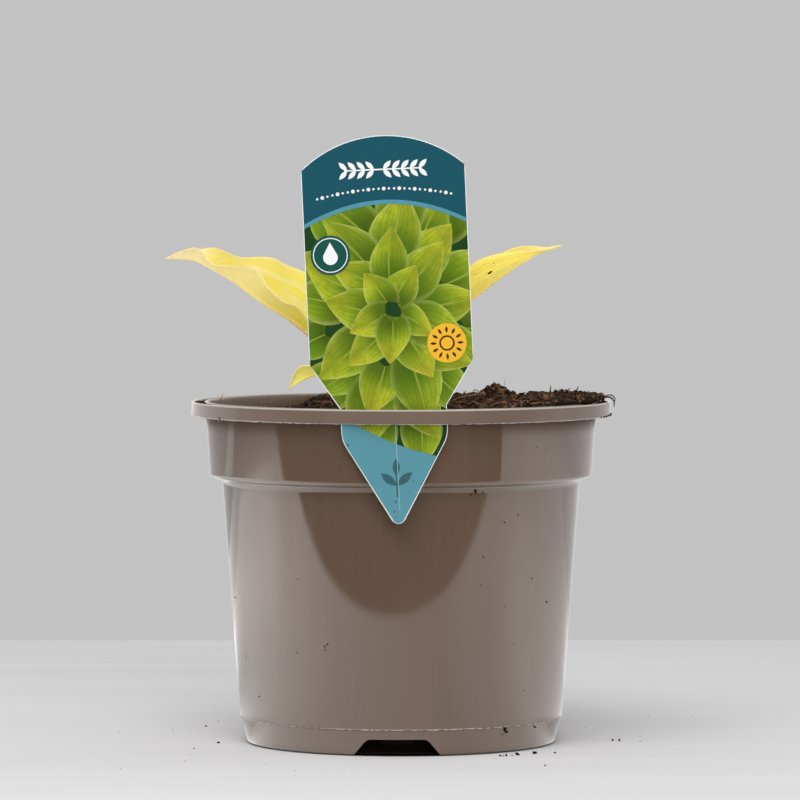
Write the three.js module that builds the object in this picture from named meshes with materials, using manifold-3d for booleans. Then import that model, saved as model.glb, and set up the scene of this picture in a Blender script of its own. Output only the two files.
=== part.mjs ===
import * as THREE from 'three';
import { mergeVertices } from 'three/addons/utils/BufferGeometryUtils.js';
import Module from 'manifold-3d';

// Hosta with three leaves in a round 3-litre nursery pot, with its picture label in the rim.
// Millimetres, Z up. The pot stands on Z = 0 with its axis on the origin; the label is at -Y.

const wasm = await Module();
wasm.setup();

// ---- Driving dimensions -------------------------------------------------------------------

const GAP = 0.3;
const WELD = 1e-3;
const TURN = Math.PI * 2;

const POT = {
  height: 154.5,
  lipRadius: 95,
  lipDepth: 6.3,
  lipWall: 1.3,
  wall: 1.4,
  flangeTop: 153.1,
  flangeThickness: 1.5,
  beadRadius: 88,
  collarTopRadius: 88.2,
  collarFootRadius: 86.4,
  collarFootZ: 121,
  bodyTopRadius: 80.8,
  mouldLineRadius: 72.9,
  mouldLineZ: 12,
  footRadius: 69.6,
  floor: 2,
  padRadius: 14,
  recessRadius: 54,
  recessDepth: 0.8,
  segments: 60,
};

const RIM_SLOT = { count: 4, innerRadius: 88.6, outerRadius: 93.7, halfAngle: 0.31, steps: 10 };

const FOOT_VENT = {
  bearings: [-1.596, 0.498, 2.593],
  innerReach: 56,
  footHalfWidth: 19.6,
  roofHalfWidth: 13.4,
  height: 7.7,
  cornerRadius: 1.8,
  wall: 1.4,
  holeHalfLength: 7,
  holeHalfWidth: 2.4,
  holeReach: 62.5,
};

const DRAIN = { count: 6, ring: 34, radius: 3.6, segments: 16 };

const COMPOST = {
  lowLevel: 151.4,
  highLevel: 155,
  bankX: -45,
  bankHalfWidth: 5,
  hollow: { x: -66, y: 14, depth: 6, spread: 28, stretch: 0.6 },
  rings: 15,
  sectors: 54,
  lumps: 110,
  lumpHeight: 1.5,
  lumpSpread: [3.2, 7],
  heaps: [
    { x: -33, y: 4, height: 2.4, spread: 8 },
    { x: 43, y: 8, height: 5.4, spread: 7.5 },
    { x: 74, y: 24, height: 2.2, spread: 15 },
    { x: 62, y: -20, height: 1.4, spread: 20 },
    { x: 10, y: 55, height: 1.2, spread: 18 },
  ],
  spillBearing: 0.08,
  spillHalfAngle: 0.62,
  spillReach: 5.4,
};

const CROWN = {
  x: -4,
  y: 1,
  radius: 17,
  bottomZ: 139,
  shoulderZ: 152.5,
  topZ: 157.2,
  sides: 26,
  sheathWall: 1.5,
  sheathSides: 12,
  budSteps: 7,
  budSides: 9,
  sheathFlare: 1.2,
  sheathTaper: 0.5,
  bud: { foot: [-1, 11, 152], tip: [0.5, 13.5, 171], radius: 3.4 },
  smallBud: { foot: [5.6, -5.4, 151], tip: [7.4, -6.6, 165], radius: 2.6 },
};

const LABEL = {
  halfWidth: 35.9,
  shoulderHeight: 108.4,
  archHeight: 122.3,
  sideFootHeight: 23,
  sideFootRadius: 5,
  neckHalfWidth: 23.3,
  neckTop: 3.5,
  neckBottom: -10.5,
  tipDepth: -47.7,
  tipRadius: 3.4,
  cornerRadius: 2.4,
  thickness: 0.6,
  lean: 0.0447,
  originX: -3.1,
  backY: -88.9,
  originZ: 152,
};

// Each blade is lofted through stations that run from the leaf stalk to the tip. A station holds
// the keel point, then the edge of the near half and the edge of the far half.

const LEAVES = {
  leaf_left: {
    stalk: [[-9.6, 4, 149.6], [-10.4, 4, 156], [-11.2, 4, 162.4], [-14, 3.9, 167], [-19.6, 3.6, 170]],
    stalkRadius: 2.7,
    ribRadius: 0.7,
    sheathTop: 162,
    bow: 0.12,
    stations: [
      [[-26, 3.2, 173], [-26.4, 0.4, 175.4], [-25.6, 6, 175.6]],
      [[-33.5, 2.6, 178.8], [-34, -8.6, 184.6], [-31, 14.5, 193]],
      [[-43.4, 2, 186.2], [-42.6, -16, 191.4], [-41, 20, 210.5]],
      [[-50.2, 1.5, 191.3], [-51.4, -24, 198.4], [-50, 22.5, 214.6]],
      [[-61.5, 1, 198.1], [-60, -26, 205.6], [-58.4, 21, 218.6]],
      [[-72.8, 0.5, 206.4], [-68.4, -17.5, 216], [-71.6, 17.5, 218.8]],
      [[-86.3, 0, 214.3], [-84.4, -8.6, 216.2], [-84.6, 10.5, 223.4]],
      [[-93.1, 0, 217.7], [-91.6, -5.2, 223.4], [-92.2, 6, 222.6]],
      [[-99.9, 0, 218.7], [-98.6, -2.2, 222.4], [-99, 2.6, 221.6]],
      [[-106.6, 0, 218.6], [-106.4, -0.5, 219.1], [-106.4, 0.5, 219.1]],
    ],
  },
  leaf_right: {
    stalk: [[2.6, 5, 149.6], [3.2, 5.1, 157], [3.8, 5.2, 164.4], [6, 5, 172.6], [10.4, 4.6, 180]],
    stalkRadius: 2.6,
    ribRadius: 0.65,
    sheathTop: 163,
    bow: 0.1,
    stations: [
      [[15.6, 4, 185.4], [14.8, 1.2, 187.6], [14.8, 6.8, 187.6]],
      [[23, 3.3, 191.6], [19.4, -9.5, 200.4], [19.6, 16, 199.6]],
      [[32.5, 2.5, 200.8], [27, -17, 212.8], [27.6, 22, 211]],
      [[40, 2.2, 206.4], [35.7, -18.6, 218.8], [37, 21.5, 216]],
      [[48.8, 1.6, 212.9], [43.4, -15.5, 221.2], [44.4, 17.6, 220.4]],
      [[55.2, 1, 216.9], [50, -10.6, 222], [52.6, 12.5, 223.8]],
      [[61.6, 0.4, 220.6], [58.6, -6, 222.4], [60, 7.6, 224.3]],
      [[67.5, 0, 222.6], [66, -2.4, 223], [66, 3, 223.9]],
      [[72.9, 0, 224.4], [72.7, -0.5, 224.9], [72.7, 0.5, 224.9]],
    ],
  },
  leaf_low: {
    stalk: [[-7, -7.2, 149.6], [-8, -7.9, 154.6], [-9, -8.6, 159.6], [-11.6, -10.2, 164.4], [-16, -12.6, 167.6]],
    stalkRadius: 2.1,
    ribRadius: 0.5,
    sheathTop: 159,
    bow: 0.16,
    stations: [
      [[-20.6, -14.6, 168.8], [-20.4, -16.4, 170.2], [-21, -12.6, 170.4]],
      [[-26, -16.6, 169.3], [-26, -23, 173.4], [-26.6, -9.6, 173.8]],
      [[-32, -18.6, 168.6], [-32.6, -26.6, 173.4], [-33, -9.6, 173.6]],
      [[-38, -20, 166.8], [-39, -27.4, 171.6], [-39, -12.6, 171.2]],
      [[-43.6, -21.2, 164.7], [-45.2, -26.4, 170.8], [-45, -16, 168.6]],
      [[-47.6, -21.8, 162.3], [-48.2, -24, 166.8], [-48.2, -19.4, 165]],
      [[-50.6, -22, 160.2], [-50.6, -22.5, 160.9], [-50.6, -21.5, 160.9]],
    ],
  },
};

const BLADE = { thickness: 0.8, rows: 22, cellsPerHalf: 5, ribHeight: 0.28, ribs: 2.5 };
const STALK_SIDES = 8;
const STALK_STEPS = 22;

const COLOURS = {
  pot: [0x85766a, 0.38],
  compost: [0x2a1c14, 0.95],
  crown: [0x8a6a4e, 0.7],
  leaf_left: [0xe6d75f, 0.5],
  leaf_right: [0xe2cf60, 0.5],
  leaf_low: [0xd9d56a, 0.5],
  label: [0x6ea23a, 0.3],
};

// ---- Solids -------------------------------------------------------------------------------

/** Welds a geometry into a closed solid that faces outward. */
function toSolid(geometry) {
  const bare = geometry.clone();
  bare.deleteAttribute('normal');
  bare.deleteAttribute('uv');
  const welded = mergeVertices(bare, WELD);
  const order = welded.index.array;
  const faces = [];
  for (let i = 0; i < order.length; i += 3) {
    const [a, b, c] = [order[i], order[i + 1], order[i + 2]];
    if (a !== b && b !== c && c !== a) faces.push(a, b, c);
  }
  const points = new Float32Array(welded.attributes.position.array);
  const build = (triangles) => new wasm.Manifold(
    new wasm.Mesh({ numProp: 3, vertProperties: points, triVerts: new Uint32Array(triangles) }),
  );
  const solid = build(faces);
  return solid.volume() > 0 ? solid : build(faces.reverse());
}

/** Turns a solid back into a geometry, keeping only its largest connected body. */
function toGeometry(solid) {
  const bodies = solid.decompose().sort((a, b) => b.volume() - a.volume());
  const mesh = bodies[0].getMesh();
  const geometry = new THREE.BufferGeometry();
  geometry.setAttribute('position', new THREE.Float32BufferAttribute(mesh.vertProperties, 3));
  geometry.setIndex(Array.from(mesh.triVerts));
  geometry.computeVertexNormals();
  return geometry;
}

/** Revolves [radius, z] points, listed from the axis round the outside and back to the axis. */
function revolve(profile, segments) {
  const points = profile.map(([radius, z]) => new THREE.Vector2(Math.max(radius, 0), z));
  return new THREE.LatheGeometry(points, segments).rotateX(Math.PI / 2);
}

/** Closes a list of rings (equal counts of Vector3) with a fan at each end. */
function skin(rings) {
  const count = rings[0].length;
  const points = rings.flat();
  const faces = [];
  for (let i = 0; i < rings.length - 1; i += 1) {
    for (let j = 0; j < count; j += 1) {
      const next = (j + 1) % count;
      const [a, b] = [i * count + j, i * count + next];
      const [c, d] = [a + count, b + count];
      faces.push(a, b, d, a, d, c);
    }
  }
  for (const [ring, start] of [[rings[0], 0], [rings.at(-1), (rings.length - 1) * count]]) {
    const centre = ring.reduce((sum, p) => sum.add(p), new THREE.Vector3()).divideScalar(count);
    points.push(centre);
    for (let j = 0; j < count; j += 1) {
      const [a, b] = [start + j, start + ((j + 1) % count)];
      faces.push(...(start === 0 ? [points.length - 1, b, a] : [points.length - 1, a, b]));
    }
  }
  return new THREE.BufferGeometry().setFromPoints(points).setIndex(faces);
}

/** Sweeps a round section along a curve; radiusAt gives the radius at each fraction of it. */
function sweep(curve, steps, sides, radiusAt) {
  const frames = curve.computeFrenetFrames(steps, false);
  const rings = [];
  for (let i = 0; i <= steps; i += 1) {
    const centre = curve.getPointAt(i / steps);
    const radius = radiusAt(i / steps);
    const ring = [];
    for (let j = 0; j < sides; j += 1) {
      const angle = (j / sides) * TURN;
      ring.push(centre.clone()
        .addScaledVector(frames.normals[i], radius * Math.cos(angle))
        .addScaledVector(frames.binormals[i], radius * Math.sin(angle)));
    }
    rings.push(ring);
  }
  return skin(rings);
}

/** Extrudes an outline drawn in the X-Z plane along Y, from fromY to toY. */
function slabAlongY(shape, fromY, toY, curveSegments) {
  return new THREE.ExtrudeGeometry(shape, { depth: toY - fromY, bevelEnabled: false, curveSegments })
    .rotateX(Math.PI / 2)
    .translate(0, toY, 0);
}

const vector = (list) => new THREE.Vector3(...list);
const smooth = (low, high, value) => THREE.MathUtils.smoothstep(value, low, high);

/** Seeded generator of numbers from 0 to 1. */
function seeded(seed) {
  let state = seed >>> 0;
  return () => {
    state = (Math.imul(state, 1664525) + 1013904223) >>> 0;
    return state / 4294967296;
  };
}

// ---- Pot ----------------------------------------------------------------------------------

/** Outer pot wall radius at a height below the collar. */
function bodyRadius(z) {
  const share = (z - POT.mouldLineZ) / (POT.collarFootZ - 3 - POT.mouldLineZ);
  return THREE.MathUtils.lerp(POT.mouldLineRadius, POT.bodyTopRadius, share);
}

/** Inner pot wall radius at a height, which the compost fills. */
function innerRadius(z) {
  const rimZ = POT.height - 4;
  const stepZ = POT.collarFootZ + 1.6;
  if (z >= stepZ) {
    const share = Math.min((z - stepZ) / (rimZ - stepZ), 1);
    return THREE.MathUtils.lerp(POT.collarFootRadius, POT.collarTopRadius, share) - POT.wall;
  }
  return bodyRadius(z) - POT.wall;
}

function potProfile() {
  const { height, lipRadius, lipWall, flangeTop, wall, floor } = POT;
  const lipFootZ = height - POT.lipDepth;
  const flangeFootZ = flangeTop - POT.flangeThickness;
  const collarTop = POT.collarTopRadius;
  const stepZ = POT.collarFootZ;
  const bodyTopZ = stepZ - 3;
  return [
    [0, 0],
    [POT.padRadius, 0],
    [POT.padRadius + 1, POT.recessDepth],
    [POT.recessRadius - 1, POT.recessDepth],
    [POT.recessRadius, 0],
    [POT.footRadius - 0.8, 0],
    [POT.footRadius, 0.7],
    [POT.mouldLineRadius - 0.4, POT.mouldLineZ - 0.5],
    [POT.mouldLineRadius + 0.4, POT.mouldLineZ - 0.2],
    [POT.mouldLineRadius + 0.4, POT.mouldLineZ + 0.2],
    [POT.mouldLineRadius, POT.mouldLineZ + 0.5],
    [POT.bodyTopRadius, bodyTopZ],
    [POT.bodyTopRadius + 1.1, stepZ - 1.3],
    [POT.collarFootRadius - 1.2, stepZ - 0.5],
    [POT.collarFootRadius - 0.3, stepZ],
    [POT.collarFootRadius, stepZ + 0.9],
    [collarTop, flangeFootZ - 1],
    [collarTop + 0.8, flangeFootZ],
    [lipRadius - lipWall, flangeFootZ],
    [lipRadius - lipWall, lipFootZ],
    [lipRadius - 0.3, lipFootZ],
    [lipRadius, lipFootZ + 0.4],
    [lipRadius, height - 0.9],
    [lipRadius - 0.5, height],
    [lipRadius - lipWall, height - 0.2],
    [lipRadius - lipWall - 0.4, flangeTop],
    [POT.beadRadius + 0.9, flangeTop],
    [POT.beadRadius + 0.7, height - 0.3],
    [POT.beadRadius, height],
    [POT.beadRadius - 0.9, height - 0.4],
    [collarTop - wall, height - 4],
    [POT.collarFootRadius - wall, stepZ + 1.6],
    [POT.collarFootRadius - wall - 1, stepZ + 0.7],
    [POT.bodyTopRadius - wall + 1, stepZ - 0.3],
    [POT.bodyTopRadius - wall, bodyTopZ],
    [POT.mouldLineRadius - wall, POT.mouldLineZ],
    [POT.footRadius - wall - 0.5, floor + 2],
    [POT.footRadius - wall - 2.5, floor],
    [0, floor],
  ];
}

/** Trapezoid cross-section of a foot vent, drawn across X and up Z, grown by a margin. */
function ventOutline(margin, footZ) {
  const roof = FOOT_VENT.height + margin;
  const slope = (FOOT_VENT.footHalfWidth - FOOT_VENT.roofHalfWidth) / FOOT_VENT.height;
  const foot = FOOT_VENT.footHalfWidth + margin - slope * footZ;
  const top = FOOT_VENT.roofHalfWidth + margin;
  const soft = FOOT_VENT.cornerRadius;
  const shape = new THREE.Shape();
  shape.moveTo(-foot, footZ);
  shape.lineTo(foot, footZ);
  shape.lineTo(top + slope * soft, roof - soft);
  shape.quadraticCurveTo(top, roof, top - soft, roof);
  shape.lineTo(soft - top, roof);
  shape.quadraticCurveTo(-top, roof, -top - slope * soft, roof - soft);
  shape.closePath();
  return shape;
}

/** A foot vent's solid, running out along +Y before it is turned to its bearing. */
function ventBlock(margin, footZ, fromReach, toReach) {
  return toSolid(slabAlongY(ventOutline(margin, footZ), fromReach, toReach, 4));
}

const turned = (solid, bearing) => solid.rotate([0, 0, THREE.MathUtils.radToDeg(bearing) - 90]);

function buildPot() {
  let pot = toSolid(revolve(potProfile(), POT.segments));
  const inset = 0.7;
  const plug = toSolid(revolve([
    [0, 0],
    [POT.footRadius - inset, 0],
    [POT.mouldLineRadius - inset, POT.mouldLineZ],
    [0, POT.mouldLineZ],
  ], POT.segments));
  const { innerReach, wall, height, holeReach } = FOOT_VENT;
  for (const bearing of FOOT_VENT.bearings) {
    const shell = turned(ventBlock(wall, 0, innerReach - wall, POT.lipRadius), bearing);
    pot = pot.add(shell.intersect(plug));
  }
  const hole = toSolid(new THREE.BoxGeometry(
    FOOT_VENT.holeHalfLength * 2,
    FOOT_VENT.holeHalfWidth * 2,
    height,
  ).translate(0, holeReach, height));
  for (const bearing of FOOT_VENT.bearings) {
    pot = pot.subtract(turned(ventBlock(0, -1, innerReach, POT.lipRadius), bearing));
    pot = pot.subtract(turned(hole, bearing));
  }
  for (let i = 0; i < RIM_SLOT.count; i += 1) {
    pot = pot.subtract(rimSlot((i / RIM_SLOT.count) * TURN));
  }
  const drain = new THREE.CylinderGeometry(DRAIN.radius, DRAIN.radius, 8, DRAIN.segments);
  drain.rotateX(Math.PI / 2).translate(0, DRAIN.ring, 0);
  for (let i = 0; i < DRAIN.count; i += 1) {
    pot = pot.subtract(turned(toSolid(drain), (i / DRAIN.count) * TURN));
  }
  return pot;
}

/** Curved slot through the rim's flange, centred on a bearing. */
function rimSlot(bearing) {
  const { innerRadius: inner, outerRadius: outer, halfAngle, steps } = RIM_SLOT;
  const floorZ = POT.flangeTop - POT.flangeThickness - 1;
  const rings = [];
  for (let i = 0; i <= steps; i += 1) {
    const angle = bearing - halfAngle + (2 * halfAngle * i) / steps;
    const corner = (radius, z) => new THREE.Vector3(
      radius * Math.cos(angle),
      radius * Math.sin(angle),
      z,
    );
    rings.push([
      corner(inner, floorZ),
      corner(outer, floorZ),
      corner(outer, POT.height - 0.6),
      corner(inner, POT.height - 0.6),
    ]);
  }
  return toSolid(skin(rings));
}

// ---- Compost ------------------------------------------------------------------------------

const soilLumps = (() => {
  const random = seeded(411);
  const [least, most] = COMPOST.lumpSpread;
  return Array.from({ length: COMPOST.lumps }, () => {
    const reach = Math.sqrt(random()) * POT.collarTopRadius;
    const angle = random() * TURN;
    return {
      x: reach * Math.cos(angle),
      y: reach * Math.sin(angle),
      height: (random() * 2 - 0.9) * COMPOST.lumpHeight,
      spread: least + (most - least) * random(),
    };
  });
})();

/** Height of the compost's surface at a place in the pot. */
function soilHeight(x, y) {
  const { bankX, bankHalfWidth, hollow } = COMPOST;
  const bank = bankX + 4 * Math.sin(y / 13);
  const rise = smooth(bank - bankHalfWidth, bank + bankHalfWidth, x);
  const away = Math.hypot(x - hollow.x, (y - hollow.y) * hollow.stretch) / hollow.spread;
  let z = THREE.MathUtils.lerp(COMPOST.lowLevel, COMPOST.highLevel, rise)
    - hollow.depth * (1 - smooth(0.66, 1.02, away));
  for (const heap of [...COMPOST.heaps, ...soilLumps]) {
    const offset = (x - heap.x) ** 2 + (y - heap.y) ** 2;
    z += heap.height * Math.exp(-offset / heap.spread ** 2);
  }
  return z;
}

/** Angle between a bearing and the middle of the spilled compost. */
function offSpill(angle) {
  const turn = angle - COMPOST.spillBearing;
  return Math.abs(Math.atan2(Math.sin(turn), Math.cos(turn)));
}

/** How far the heaped compost lies out over the rim at a bearing. */
function spillReach(angle) {
  const ripple = 0.82 + 0.18 * Math.sin(angle * 13);
  const share = offSpill(angle) / COMPOST.spillHalfAngle;
  return COMPOST.spillReach * ripple * (1 - smooth(0.55, 1, share));
}

function buildCompost() {
  const { rings: ringCount, sectors } = COMPOST;
  const at = (radius, angle, z) => new THREE.Vector3(
    radius * Math.cos(angle),
    radius * Math.sin(angle),
    z,
  );
  const ringOf = (place) => Array.from({ length: sectors }, (_, j) => place((j / sectors) * TURN));
  const fitRadius = (z) => innerRadius(z) - GAP - 0.1;
  const heightAt = (radius, angle) => soilHeight(radius * Math.cos(angle), radius * Math.sin(angle));
  const wallHeight = (angle) => heightAt(POT.collarFootRadius, angle);
  const sectorAngle = TURN / sectors;
  const spills = (angle) => offSpill(angle) < COMPOST.spillHalfAngle + sectorAngle;
  const edge = (angle) => fitRadius(wallHeight(angle)) + spillReach(angle);
  const rings = [];
  for (let i = 1; i <= ringCount; i += 1) {
    const crumble = smooth(ringCount - 2, ringCount, i);
    rings.push(ringOf((angle) => {
      const radius = edge(angle) * (i / ringCount) ** 0.85;
      const z = heightAt(radius, angle);
      const edgeZ = spills(angle) ? POT.height + 1.8 : z;
      return at(radius, angle, THREE.MathUtils.lerp(z, edgeZ, crumble));
    }));
  }
  const below = (angle) => (spills(angle) ? POT.height + GAP + 0.2 : wallHeight(angle) - 1.2);
  rings.push(ringOf((angle) => at(edge(angle) - 0.1, angle, below(angle))));
  rings.push(ringOf((angle) => at(fitRadius(below(angle)) - 0.1, angle, below(angle) - 0.1)));
  const stepZ = POT.collarFootZ;
  const seat = [
    [fitRadius(stepZ + 19), stepZ + 19],
    [fitRadius(stepZ + 1.7), stepZ + 1.8],
    [POT.bodyTopRadius - POT.wall + 0.6, stepZ + 0.2],
    [fitRadius(stepZ - 3), stepZ - 3],
    [fitRadius(POT.mouldLineZ), POT.mouldLineZ],
    [POT.footRadius - POT.wall - 3.2, POT.floor + GAP],
  ];
  for (const [radius, z] of seat) rings.push(ringOf((angle) => at(radius, angle, z)));
  let compost = toSolid(skin(rings));
  for (const bearing of FOOT_VENT.bearings) {
    const { wall, innerReach } = FOOT_VENT;
    compost = compost.subtract(
      turned(ventBlock(wall + GAP, 0, innerReach - wall - GAP, POT.lipRadius), bearing),
    );
  }
  const bed = new THREE.CylinderGeometry(CROWN.radius + GAP, CROWN.radius + GAP, 40, CROWN.sides);
  bed.rotateX(Math.PI / 2).translate(CROWN.x, CROWN.y, CROWN.bottomZ - GAP + 20);
  return compost.subtract(toSolid(bed));
}

// ---- Crown --------------------------------------------------------------------------------

/** Straight tapered rod between two points. */
function rod(foot, head, footRadius, headRadius, steps = 1) {
  const line = new THREE.LineCurve3(vector(foot), vector(head));
  const radiusAt = (t) => THREE.MathUtils.lerp(footRadius, headRadius, t);
  return sweep(line, steps, CROWN.sheathSides, radiusAt);
}

/** Pointed shoot that is still rolled up in its sheath. */
function budGeometry({ foot, tip, radius }) {
  const line = new THREE.LineCurve3(vector(foot), vector(tip));
  const swell = (t) => Math.sin(Math.PI * (0.32 + 0.68 * t)) ** 0.9;
  return sweep(line, CROWN.budSteps, CROWN.budSides, (t) => radius * (0.08 + 0.92 * swell(t)));
}

function buildCrown() {
  const random = seeded(57);
  const { sides, radius, bottomZ, shoulderZ, topZ } = CROWN;
  const levels = [
    [0.9, bottomZ],
    [1, bottomZ + 2],
    [1, shoulderZ - 3],
    [0.93, shoulderZ],
    [0.74, (shoulderZ + topZ) / 2],
    [0.4, topZ - 0.5],
    [0.12, topZ],
  ];
  const rings = levels.map(([share, z]) => Array.from({ length: sides }, (_, j) => {
    const angle = (j / sides) * TURN;
    const reach = radius * share * (1 - 0.12 * random());
    return new THREE.Vector3(
      CROWN.x + reach * Math.cos(angle),
      CROWN.y + reach * Math.sin(angle),
      z - (share < 0.9 ? random() * 0.9 : 0),
    );
  }));
  let crown = toSolid(skin(rings));
  for (const bud of [CROWN.bud, CROWN.smallBud]) {
    crown = crown.add(toSolid(budGeometry(bud)));
  }
  for (const leaf of Object.values(LEAVES)) {
    const outer = leaf.stalkRadius + GAP + CROWN.sheathWall;
    const [footRadius, headRadius] = [outer + CROWN.sheathFlare, outer - CROWN.sheathTaper];
    crown = crown.add(toSolid(rod(leaf.stalk[0], sheathPoint(leaf), footRadius, headRadius, 3)));
  }
  for (const leaf of Object.values(LEAVES)) {
    const foot = vector(leaf.stalk[0]);
    const along = vector(leaf.stalk[2]).sub(foot).normalize();
    const start = foot.clone().addScaledVector(along, -GAP);
    const end = foot.clone().addScaledVector(along, CROWN.topZ - CROWN.bottomZ);
    const bore = leaf.stalkRadius + GAP + 0.1;
    crown = crown.subtract(toSolid(rod(start.toArray(), end.toArray(), bore, bore)));
  }
  return crown;
}

/** Point on a stalk's straight foot where its sheath ends. */
function sheathPoint(leaf) {
  const [foot, , head] = leaf.stalk;
  const share = (leaf.sheathTop - foot[2]) / (head[2] - foot[2]);
  return foot.map((value, i) => value + (head[i] - value) * share);
}

// ---- Leaves -------------------------------------------------------------------------------

/** Middle surface of a blade as rows of points from the near edge over the keel to the far edge. */
function bladeSurface(leaf) {
  const track = (k) => new THREE.CatmullRomCurve3(
    leaf.stations.map((station) => vector(station[k])),
    false,
    'centripetal',
  );
  const [keel, near, far] = [track(0), track(1), track(2)];
  const rows = [];
  for (let i = 0; i <= BLADE.rows; i += 1) {
    const u = i / BLADE.rows;
    const spine = keel.getPoint(u);
    const along = keel.getTangent(u);
    const fade = smooth(0, 0.15, u) * (1 - smooth(0.8, 1, u));
    const row = [];
    for (let j = -BLADE.cellsPerHalf; j <= BLADE.cellsPerHalf; j += 1) {
      const t = Math.abs(j) / BLADE.cellsPerHalf;
      const side = (j < 0 ? near : far).getPoint(u).sub(spine);
      const outward = new THREE.Vector3().crossVectors(along, side).normalize();
      if (j > 0) outward.negate();
      const lift = side.length() * leaf.bow * Math.sin(Math.PI * t)
        + BLADE.ribHeight * Math.sin(TURN * BLADE.ribs * t);
      row.push(spine.clone().addScaledVector(side, t).addScaledVector(outward, lift * fade));
    }
    rows.push(row);
  }
  return rows;
}

/** Thickens a grid of points into a closed sheet with alike triangles on both faces. */
function sheet(rows, thickness) {
  const [rowCount, columnCount] = [rows.length, rows[0].length];
  const pick = (i, j) => rows[THREE.MathUtils.clamp(i, 0, rowCount - 1)][
    THREE.MathUtils.clamp(j, 0, columnCount - 1)];
  const faces = [[], []];
  rows.forEach((row, i) => row.forEach((point, j) => {
    const along = pick(i + 1, j).clone().sub(pick(i - 1, j));
    const across = pick(i, j + 1).clone().sub(pick(i, j - 1));
    const normal = along.cross(across).normalize();
    faces[0].push(point.clone().addScaledVector(normal, thickness / 2));
    faces[1].push(point.clone().addScaledVector(normal, -thickness / 2));
  }));
  const points = faces.flat();
  const under = rowCount * columnCount;
  const index = [];
  const quad = (a, b, c, d) => index.push(a, b, c, a, c, d);
  for (let i = 0; i < rowCount - 1; i += 1) {
    for (let j = 0; j < columnCount - 1; j += 1) {
      const a = i * columnCount + j;
      const [b, c, d] = [a + 1, a + columnCount + 1, a + columnCount];
      index.push(a, b, c, a, c, d);
      index.push(under + a, under + c, under + b, under + a, under + d, under + c);
    }
  }
  for (let i = 0; i < rowCount - 1; i += 1) {
    const a = i * columnCount;
    const b = a + columnCount;
    quad(a, b, under + b, under + a);
    const c = a + columnCount - 1;
    const d = c + columnCount;
    quad(c, under + c, under + d, d);
  }
  const last = (rowCount - 1) * columnCount;
  for (let j = 0; j < columnCount - 1; j += 1) {
    quad(j, under + j, under + j + 1, j + 1);
    quad(last + j, last + j + 1, under + last + j + 1, under + last + j);
  }
  return new THREE.BufferGeometry().setFromPoints(points).setIndex(index);
}

function buildLeaf(leaf) {
  const blade = toSolid(sheet(bladeSurface(leaf), BLADE.thickness));
  const keel = leaf.stations.map((station) => station[0]);
  const ribCount = Math.ceil(keel.length * 0.7);
  const path = [...leaf.stalk, ...keel.slice(0, ribCount)].map(vector);
  const curve = new THREE.CatmullRomCurve3(path, false, 'centripetal');
  const stalkShare = leaf.stalk.length / path.length;
  const radiusAt = (t) => THREE.MathUtils.lerp(
    leaf.stalkRadius,
    leaf.ribRadius,
    smooth(stalkShare * 0.3, 1, t),
  );
  return blade.add(toSolid(sweep(curve, STALK_STEPS, STALK_SIDES, radiusAt)));
}

// ---- Label --------------------------------------------------------------------------------

function labelOutline() {
  const { halfWidth, shoulderHeight, archHeight, neckHalfWidth, tipDepth, tipRadius } = LABEL;
  const rise = archHeight - shoulderHeight;
  const archRadius = (halfWidth ** 2 + rise ** 2) / (2 * rise);
  const archAngle = Math.asin(halfWidth / archRadius);
  const cut = LABEL.cornerRadius / archRadius;
  const flank = new THREE.Vector2(neckHalfWidth, LABEL.neckBottom - tipDepth).normalize();
  const tipCentre = tipDepth + tipRadius;
  const tangent = [tipRadius * flank.y, tipCentre - tipRadius * flank.x];
  const softTop = LABEL.sideFootHeight + LABEL.sideFootRadius;
  const waist = new THREE.Vector2(
    halfWidth - neckHalfWidth,
    LABEL.sideFootHeight - LABEL.neckTop,
  ).setLength(LABEL.sideFootRadius);
  const softStart = [halfWidth - waist.x, LABEL.sideFootHeight - waist.y];
  const shape = new THREE.Shape();
  shape.moveTo(neckHalfWidth, LABEL.neckTop);
  shape.lineTo(...softStart);
  shape.quadraticCurveTo(halfWidth, LABEL.sideFootHeight, halfWidth, softTop);
  shape.lineTo(halfWidth, shoulderHeight - LABEL.cornerRadius);
  const archStart = Math.PI / 2 - archAngle + cut;
  shape.quadraticCurveTo(
    halfWidth,
    shoulderHeight,
    archRadius * Math.cos(archStart),
    archHeight - archRadius + archRadius * Math.sin(archStart),
  );
  shape.absarc(0, archHeight - archRadius, archRadius, archStart, Math.PI - archStart, false);
  shape.quadraticCurveTo(-halfWidth, shoulderHeight, -halfWidth, shoulderHeight - LABEL.cornerRadius);
  shape.lineTo(-halfWidth, softTop);
  shape.quadraticCurveTo(-halfWidth, LABEL.sideFootHeight, -softStart[0], softStart[1]);
  shape.lineTo(-neckHalfWidth, LABEL.neckTop);
  shape.lineTo(-neckHalfWidth, LABEL.neckBottom);
  shape.lineTo(-tangent[0], tangent[1]);
  shape.quadraticCurveTo(0, tipDepth - tipRadius * 0.5, tangent[0], tangent[1]);
  shape.lineTo(neckHalfWidth, LABEL.neckBottom);
  shape.closePath();
  return shape;
}

function buildLabel() {
  const card = slabAlongY(labelOutline(), -LABEL.thickness, 0, 14);
  card.rotateY(-LABEL.lean).translate(LABEL.originX, LABEL.backY, LABEL.originZ);
  return toSolid(card);
}

// ---- Assembly -----------------------------------------------------------------------------

function part(name, solid) {
  const [color, roughness] = COLOURS[name];
  const material = new THREE.MeshStandardMaterial({ color, roughness, metalness: 0 });
  material.name = name;
  const mesh = new THREE.Mesh(toGeometry(solid), material);
  mesh.name = name;
  return mesh;
}

const plant = new THREE.Group();
plant.name = 'potted_hosta';
plant.add(part('pot', buildPot()));
plant.add(part('compost', buildCompost()));
plant.add(part('crown', buildCrown()));
for (const [name, leaf] of Object.entries(LEAVES)) {
  plant.add(part(name, buildLeaf(leaf)));
}
plant.add(part('label', buildLabel()));

export default plant;
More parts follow.
